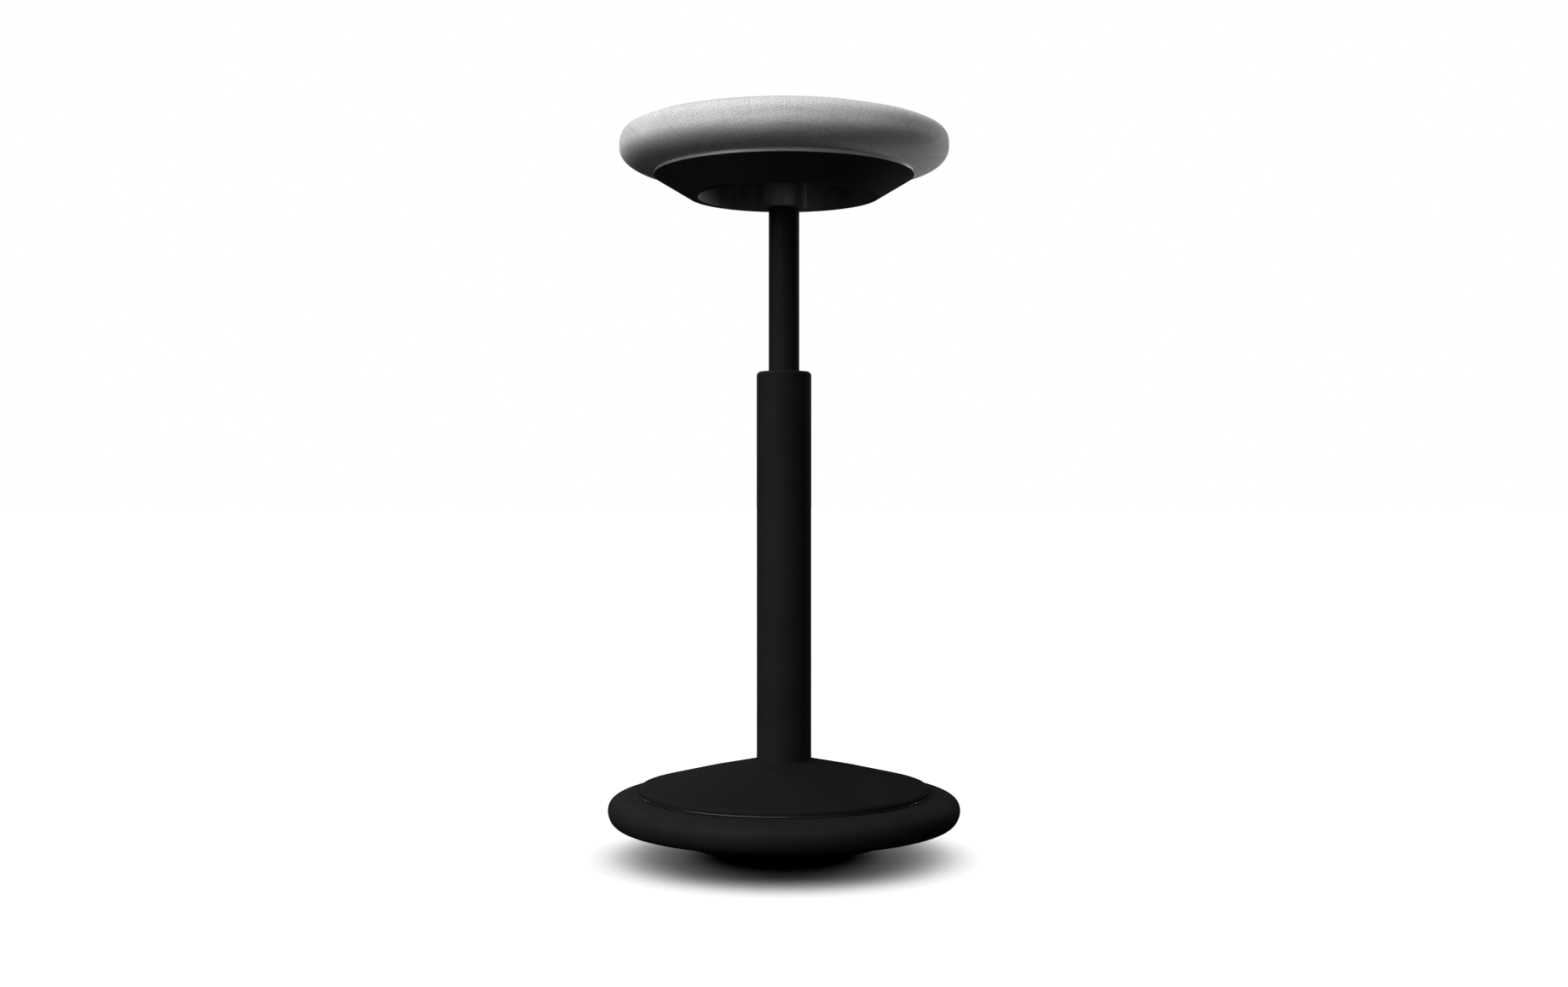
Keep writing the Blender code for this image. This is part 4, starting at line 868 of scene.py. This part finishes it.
class STOOL_OT_column(bpy.types.Operator):
    """Build the column tube and the guide that closes its mouth"""

    bl_idname = "stool.column"
    bl_label = "Column"

    def execute(self, context):
        radius, foot, top = node_size("column_tube")
        bore = radius - TUBE_WALL
        turned_piece("column_post", filleted([
            (ROD_HOLE, foot, 0),
            (radius - TUBE_TAPER, foot, 0.0005),
            (radius, TUBE_TAPER_TOP, 0),
            (radius, top, 0.0005),
            (bore, top, 0.0004),
            (bore, foot + TUBE_FLOOR, 0.0008),
            (ROD_HOLE, foot + TUBE_FLOOR, 0),
        ]), "base", "black_paint", "column_tube")

        _, guide_foot, cap_top = node_size("guide_bush")
        slide = node_size("gas_cylinder")[0] + RUNNING_GAP
        flange = cap_top - CAP_FLANGE
        turned_piece("guide_cap", filleted([
            (slide, guide_foot, 0.0003),
            (bore - SEAT_GAP, guide_foot, 0.0006),
            (bore - SEAT_GAP, flange, 0),
            (radius, flange, 0.00015),
            (radius - CAP_CHAMFER, cap_top, 0.00035),
            (slide + CAP_MOUTH_WIDTH, cap_top, 0.0003),
            (slide, cap_top - CAP_MOUTH_DEPTH, 0.0002),
        ]), "base", "cap_plastic", "guide_bush")
        return {"FINISHED"}


class STOOL_OT_spring(bpy.types.Operator):
    """Build the gas spring's tube and the hub it is wedged in"""

    bl_idname = "stool.spring"
    bl_label = "Gas spring and hub"

    def execute(self, context):
        radius, foot, top = node_size("gas_cylinder")
        hub_radius, hub_foot, hub_top = node_size("taper_hub")
        bore = radius - SPRING_WALL
        neck = radius - SPRING_TAPER
        room = top - VALVE_ROOM
        turned_piece("spring_tube", filleted([
            (SPRING_LIP, foot, 0.0003),
            (radius, foot, 0.0012),
            (radius, hub_foot, 0),
            (neck, top, 0.0006),
            (PIN_HOLE, top, 0),
            (PIN_HOLE, top - SPRING_WALL, 0),
            (neck - SPRING_WALL - SEAT_GAP, top - SPRING_WALL, 0),
            (neck - SPRING_WALL - SEAT_GAP, room, 0),
            (bore, room - SPRING_WALL, 0),
            (bore, foot + SPRING_WALL, 0),
            (SPRING_LIP, foot + SPRING_WALL, 0),
        ]), "seat", "black_paint", "gas_cylinder")

        hub = mesh_object("hub_socket", *lathe(filleted([
            (radius + SEAT_GAP, hub_foot, 0.0003),
            (hub_radius - HUB_CHAMFER, hub_foot, 0.0003),
            (hub_radius, hub_foot + HUB_CHAMFER, 0.0004),
            (hub_radius, hub_top, 0.0004),
            (radius + SPRING_WALL, hub_top, 0),
            (radius + SPRING_WALL, top, 0),
            (neck + SEAT_GAP, top - SPRING_WALL, 0),
        ]), context.scene.stool_sizes.around))
        half = HUB_SLOT_WIDTH / 2
        slot = box_surface(
            (radius / 2, -half, HUB_SLOT_FLOOR), (2 * radius, half, hub_top + radius))
        combine(hub, "DIFFERENCE", *around_axis(*slot, *HUB_SLOTS))
        settle_object(hub, "seat", "black_paint", "taper_hub", finish="hub_paint_with_painted_light")
        return {"FINISHED"}


class STOOL_OT_release_ring(bpy.types.Operator):
    """Build the conical release ring and the pale band on its rim"""

    bl_idname = "stool.release_ring"
    bl_label = "Release ring"

    def execute(self, context):
        rim, ring_foot, wall_top = node_size("release_ring")
        rim_height = ring_foot + CONE_RIM_HEIGHT
        foot = ring_foot - RING_DROP
        lean = (rim - CONE_FOOT_RADIUS) / (rim_height - foot)
        slant = CONE_WALL * math.hypot(1, lean)
        floor = foot + CONE_WALL
        ring = mesh_object("release_cone", *lathe(filleted([
            (CONE_RECESS_RADIUS, wall_top, 0.0004),
            (CONE_RECESS_RADIUS, foot, 0.0007),
            (CONE_FOOT_RADIUS, foot, 0.0014),
            (rim, rim_height, 0.00025),
            (rim - slant, rim_height, 0),
            (CONE_FOOT_RADIUS + CONE_WALL * lean - slant, floor, 0.0008),
            (CONE_RECESS_RADIUS + CONE_WALL, floor, 0.0008),
            (CONE_RECESS_RADIUS + CONE_WALL, wall_top, 0.0004),
        ]), context.scene.stool_sizes.around))
        boss_foot = foot + CONE_WALL / 2
        pilot_foot = wall_top - LIFT_PILOT_DEPTH
        combine(ring, "UNION", *bosses([
            [0, boss_foot], [LIFT_BOSS, boss_foot], [LIFT_BOSS, wall_top],
            [LIFT_PILOT, wall_top], [LIFT_PILOT, pilot_foot], [0, pilot_foot]],
            LIFT_CIRCLE, *LIFT_BOSSES))
        settle_object(
            ring, "height_ring", "black_plastic", "release_ring", finish="ring_plastic_with_painted_light")

        radius, low, high = node_size("ring_trim")
        inner = radius - BAND_WIDTH
        turned_piece("trim_band", filleted([
            (inner, low, 0.0002),
            (radius, low, 0.0002),
            (radius, high - BAND_CHAMFER, 0.0003),
            (radius - BAND_CHAMFER, high, 0.0003),
            (inner, high, 0.0002),
        ]), "height_ring", "trim_grey", "ring_trim")
        return {"FINISHED"}


def cushion_section(upper_count, lower_count):
    """Outer face of the cushion from the hem out to the side and over to the crown.

    With q the share of the full radius, the top is at widest + rise (1 - q^side)^(1 / top)
    + crown (1 - q^2), where side and top are the two powers. Its points crowd towards q = 1. The
    underside is a superellipse quarter that stops at the hem.
    """
    radius, foot, top = node_size("seat_cover")
    widest = foot + CUSHION_WIDEST_RISE
    rise = top - CUSHION_CROWN - widest
    share = 1 - (1 - np.linspace(0, 1, upper_count)) ** CUSHION_CROWDING
    shoulder = rise * (1 - share**CUSHION_SIDE_POWER) ** (1 / CUSHION_TOP_POWER)
    over = widest + shoulder + CUSHION_CROWN * (1 - share**2)
    upper = np.stack([radius * share, over], -1)
    middle = (UNDERSIDE_MIDDLE, foot - UNDERSIDE_SAG)
    lower = superellipse((radius, widest), middle, *UNDERSIDE_POWERS, lower_count)
    lower = np.vstack([lower[lower[:, 0] > HEM_RADIUS + HEM_MARGIN], [[HEM_RADIUS, foot]]])
    return np.vstack([lower[::-1], upper[-2::-1]])


def even_spacing(section, step):
    """The same section with points the same distance apart along it."""
    length = np.concatenate([[0], np.cumsum(np.linalg.norm(np.diff(section, axis=0), axis=1))])
    count = int(round(length[-1] / step)) + 1
    along = np.linspace(0, length[-1], count)
    return np.stack([np.interp(along, length, section[:, axis]) for axis in (0, 1)], -1)


def section_normals(section):
    """Outward unit normals of a section: the tangent (r', z') turned to (z', -r')."""
    tangent = np.gradient(section, axis=0)
    normal = np.stack([tangent[:, 1], -tangent[:, 0]], -1)
    return normal / np.linalg.norm(normal, axis=1, keepdims=True)


def evaluated_points(thing):
    """Vertex places of an object with its modifiers."""
    graph = bpy.context.evaluated_depsgraph_get()
    mesh = thing.evaluated_get(graph).data
    places = np.zeros(len(mesh.vertices) * 3, np.float32)
    mesh.vertices.foreach_get("co", places)
    return places.reshape(-1, 3).astype(float)


def swollen_pad(section):
    """Start places of a pad of cloth under pressure and how far each moved.

    The pad is the turned section, closed by a flat floor and remeshed to even squares. Cloth with
    inner pressure and no gravity swells it for a few frames, with the floor pinned.
    """
    closed = np.vstack([[[0, section[0, 1]]], section])
    pad = mesh_object("pad", *lathe(closed, PAD_STEPS))
    remesh = pad.modifiers.new("squares", "REMESH")
    remesh.mode = "VOXEL"
    remesh.voxel_size = PAD_SQUARE
    apply_modifiers(pad)
    start = evaluated_points(pad)
    held = pad.vertex_groups.new(name="floor")
    floor = np.nonzero(start[:, 2] < section[0, 1] + PAD_HELD)[0]
    held.add(floor.tolist(), 1.0, "REPLACE")
    cloth = pad.modifiers.new("cloth", "CLOTH")
    settings = cloth.settings
    for key, value in PAD_CLOTH.items():
        setattr(settings, key, value)
    settings.use_pressure = True
    settings.uniform_pressure_force = PAD_PRESSURE
    settings.effector_weights.gravity = 0.0
    settings.vertex_group_mass = "floor"
    scene = bpy.context.scene
    for number in range(1, PAD_FRAMES + 1):
        scene.frame_set(number)
    moved = evaluated_points(pad) - start
    bpy.data.objects.remove(pad)
    scene.frame_set(1)
    return start, moved


def carried(points, start, moved):
    """Movement at each point: the mean of the moved places' movements, each weighted by
    exp(-distance^2 / (2 reach^2)). It is worked out a batch at a time to spare memory."""
    result = np.zeros_like(points)
    for first in range(0, len(points), CARRY_BATCH):
        part = points[first:first + CARRY_BATCH]
        square = (part**2).sum(1)[:, None] + (start**2).sum(1)[None] - 2 * part @ start.T
        weight = np.exp(-np.maximum(square, 0) / (2 * CARRY_REACH**2)) + 1e-12
        result[first:first + CARRY_BATCH] = weight @ moved / weight.sum(1, keepdims=True)
    return result


def uneven_part(swell, limit):
    """What is left of a movement once its mean round each ring, in and out and up, is taken off.

    With it, the settled cover keeps the section that it was drawn with. A remaining length d is
    softly capped to d limit / (d + limit).
    """
    angle = np.arange(swell.shape[1]) * 2 * np.pi / swell.shape[1]
    out = np.stack([np.cos(angle), np.sin(angle), 0 * angle], -1)
    up = np.array([0.0, 0.0, 1.0])
    mean_out = (swell * out).sum(2).mean(1)[:, None, None]
    mean_up = (swell @ up).mean(1)[:, None, None]
    rest = swell - mean_out * out - mean_up * up
    return rest * limit / (np.linalg.norm(rest, axis=2, keepdims=True) + limit)


def add_cloth_layout(cushion, section, steps):
    """Lays the cushion out flat: a point's distance from the middle of the layout is its distance
    from the crown along the section, and its bearing is kept."""
    spans = np.linalg.norm(np.diff(section[::-1], axis=0), axis=1)
    lengths = np.concatenate([[0], np.cumsum(spans)])[::-1]
    angle = np.arange(steps) * 2 * np.pi / steps
    ring = np.repeat(lengths[1:-1], steps)
    turn = np.tile(angle, len(lengths) - 2)
    flat = np.stack([ring * np.cos(turn), ring * np.sin(turn)], -1)
    flat = np.vstack([flat, [[lengths[0], 0]], [[0, 0]]])
    mesh = cushion.data
    corners = np.zeros(len(mesh.loops), np.int32)
    mesh.loops.foreach_get("vertex_index", corners)
    layer = mesh.uv_layers.new(name="cloth")
    layer.data.foreach_set("uv", flat[corners].astype(np.float32).ravel())


class STOOL_OT_cushion(bpy.types.Operator):
    """Build the round cushion and settle its cover under pressure"""

    bl_idname = "stool.cushion"
    bl_label = "Cushion"

    def execute(self, context):
        sizes = context.scene.stool_sizes
        board_radius, board_foot, board_top = node_size("seat_board")
        pocket = board_radius + POCKET_GAP
        outer = even_spacing(cushion_section(*CUSHION_STEPS), CUSHION_SPACING)
        hem = outer[0]
        inner = np.array([
            [0, board_top + POCKET_GAP], [pocket / 2, board_top + POCKET_GAP],
            [pocket, board_top + POCKET_GAP], [pocket, board_foot - SEAT_GAP],
            [hem[0], board_foot - SEAT_GAP], [hem[0], hem[1] + HEM_DEPTH]])
        section = np.vstack([inner, outer])
        steps = sizes.around
        points, faces = lathe(section, steps)
        rise = np.clip((outer[:, 1:] - hem[1]) / SETTLE_RISE, 0, 1)
        ease = rise**2 * (3 - 2 * rise)
        inset = outer - section_normals(outer) * sizes.settle_inset * ease
        inset[-1, 0] = 0
        start, moved = swollen_pad(inset)
        first = (len(inner) - 1) * steps
        last = len(points) - 2
        swell = carried(points[first:last], start, moved).reshape(-1, steps, 3)
        settled = ease[:-1, None] * uneven_part(swell, sizes.settle_limit)
        points[first:last] += settled.reshape(-1, 3)
        cushion = mesh_object("seat_cushion", points, faces)
        smooth(cushion.data, CUSHION_SMOOTH_ANGLE)
        add_cloth_layout(cushion, section, steps)
        settle_object(cushion, "seat", "seat_fabric", "seat_cover", "seat_foam")
        return {"FINISHED"}


def pale_floor(tone):
    """A floor that the camera sees as white but for the stool's shadow and a painted contact
    shadow.
    """
    floor = Finish("pale_floor")
    floor.tree.nodes.remove(floor.shader)
    camera_ray = floor.node("ShaderNodeLightPath", out="Is Camera Ray")
    place = floor.place()
    x, y, _ = floor.parts(place)
    # Painted shadow: the floor's colour is black within the core and clears to white at the reach
    away = floor.span(from_axis(x, y), PAINTED_SHADOW_CORE, PAINTED_SHADOW_REACH)
    clear = away * away * (3.0 - 2.0 * away)
    cloud = floor.noise(place, 0.6, 2.0)
    pale = floor.mix(cloud, (1.0, 1.0, 1.0, 1.0), (1.05, 1.05, 1.05, 1.0))
    white = floor.mix(clear, (0.0, 0.0, 0.0, 1.0), pale)
    seen = floor.node("ShaderNodeBsdfDiffuse", None, {"Color": white})
    felt = floor.node("ShaderNodeBsdfDiffuse", None, {"Color": (tone, tone, tone, 1.0)})
    both = floor.node("ShaderNodeMixShader", None, {0: camera_ray, 1: felt, 2: seen})
    floor.tree.links.new(both.socket, floor.tree.nodes["Material Output"].inputs["Surface"])
    return floor.material


def hung_lamp(light, bearing, climb, distance, receivers):
    """A lamp aimed at the seat's middle. The camera doesn't see it, and it lights only what its
    receivers allow."""
    turn, rise = math.radians(bearing), math.radians(climb)
    across = distance * math.cos(rise)
    height = SEAT_MIDDLE + distance * math.sin(rise)
    thing = bpy.data.objects.new(light.name, light)
    thing.location = (across * math.sin(turn), -across * math.cos(turn), height)
    thing.rotation_euler = (math.pi / 2 - rise, 0.0, turn)
    thing.visible_camera = False
    thing.light_linking.receiver_collection = receivers
    bpy.context.scene.collection.objects.link(thing)
    return thing


class STOOL_OT_stage(bpy.types.Operator):
    """Build the floor, the lamps, the pale surroundings and the photograph's camera"""

    bl_idname = "stool.stage"
    bl_label = "Stage"

    def execute(self, context):
        scene = context.scene
        levels = scene.stool_stage
        corners = [[x * FLOOR_REACH, y * FLOOR_REACH, 0]
                   for x, y in ((-1, -1), (1, -1), (1, 1), (-1, 1))]
        floor = mesh_object("floor", corners, [[0, 1, 2, 3]])
        floor.data.materials.append(pale_floor(levels.floor_tone))

        on_floor = bpy.data.collections.new("lit_floor")
        on_floor.objects.link(floor)
        off_floor = bpy.data.collections.new("all_but_floor")
        off_floor.objects.link(floor)
        off_floor.collection_objects[0].light_linking.link_state = "EXCLUDE"
        for name, strength, width, bearing, receivers in (
                ("key_light", levels.key, KEY_WIDTH, KEY_BEARING, off_floor),
                ("floor_light", levels.floor_light, FLOOR_LIGHT_WIDTH, FLOOR_LIGHT_BEARING,
                 on_floor)):
            sun = bpy.data.lights.new(name, "SUN")
            sun.energy = strength
            sun.angle = math.radians(width)
            hung_lamp(sun, *bearing, receivers)
        # The right panel would show as a bright streak on the blacks, so they don't reflect it
        for name, watts, (*bearing, size), reflected in (
                ("low_panel", levels.low, LOW_PANEL, True),
                ("right_panel", levels.right, RIGHT_PANEL, False),
                ("front_spark", levels.sparks, FRONT_SPARK, True),
                ("right_spark", levels.sparks, RIGHT_SPARK, True),
                ("left_spark", levels.sparks, LEFT_SPARK, True)):
            panel = bpy.data.lights.new(name, "AREA")
            panel.energy = watts
            panel.size = size
            hung_lamp(panel, *bearing, off_floor).visible_glossy = reflected

        world = bpy.data.worlds.new("pale_surroundings")
        world.use_nodes = True
        tree = world.node_tree
        path = tree.nodes.new("ShaderNodeLightPath")
        camera_ray, clear_ray, gloss_ray = [
            Term(tree, path.outputs[name])
            for name in ("Is Camera Ray", "Is Transmission Ray", "Is Glossy Ray")]
        seen = (camera_ray + clear_ray) * (1 - levels.ambient) + levels.ambient
        strength = seen + gloss_ray * (levels.reflected - levels.ambient)
        background = tree.nodes["Background"]
        background.inputs["Color"].default_value = (1.0, 1.0, 1.0, 1.0)
        tree.links.new(strength.socket, background.inputs["Strength"])
        scene.world = world

        camera = bpy.data.cameras.new("photo_camera")
        camera.sensor_width = SENSOR_WIDTH
        camera.lens = SENSOR_WIDTH * FOCAL_PIXELS / FRAME_WIDTH
        camera.clip_end = CAMERA_CLIP
        holder = bpy.data.objects.new("photo_camera", camera)
        holder.location = (0.0, -CAMERA_DISTANCE, CAMERA_HEIGHT)
        holder.rotation_euler = (math.pi / 2, 0.0, 0.0)
        scene.collection.objects.link(holder)
        scene.camera = holder
        scene.view_settings.view_transform = "Standard"
        return {"FINISHED"}


class STOOL_PT_panel(bpy.types.Panel):
    """Lists the steps that build the stool's finish"""

    bl_idname = "STOOL_PT_panel"
    bl_label = "Stool"
    bl_space_type = "VIEW_3D"
    bl_region_type = "UI"
    bl_category = "Stool"

    def draw(self, context):
        scene = context.scene
        for group in (scene.stool_sizes, scene.stool_colours, scene.stool_stage):
            box = self.layout.box()
            for name in group.bl_rna.properties.keys():
                if name not in ("rna_type", "name"):
                    box.prop(group, name)
        for operator in OPERATORS:
            self.layout.operator(operator.bl_idname)


OPERATORS = (
    STOOL_OT_inner_pieces, STOOL_OT_foot, STOOL_OT_column, STOOL_OT_spring,
    STOOL_OT_release_ring, STOOL_OT_cushion, STOOL_OT_stage)
CLASSES = (StoolSizes, StoolColours, StoolStage, *OPERATORS, STOOL_PT_panel)


def register():
    for item in CLASSES:
        bpy.utils.register_class(item)
    bpy.types.Scene.stool_sizes = PointerProperty(type=StoolSizes)
    bpy.types.Scene.stool_colours = PointerProperty(type=StoolColours)
    bpy.types.Scene.stool_stage = PointerProperty(type=StoolStage)


def unregister():
    del bpy.types.Scene.stool_stage
    del bpy.types.Scene.stool_colours
    del bpy.types.Scene.stool_sizes
    for item in reversed(CLASSES):
        bpy.utils.unregister_class(item)


def main():
    register()
    bpy.ops.stool.inner_pieces()
    bpy.ops.stool.foot()
    bpy.ops.stool.column()
    bpy.ops.stool.spring()
    bpy.ops.stool.release_ring()
    bpy.ops.stool.cushion()
    bpy.ops.stool.stage()


if __name__ == "__main__":
    main()
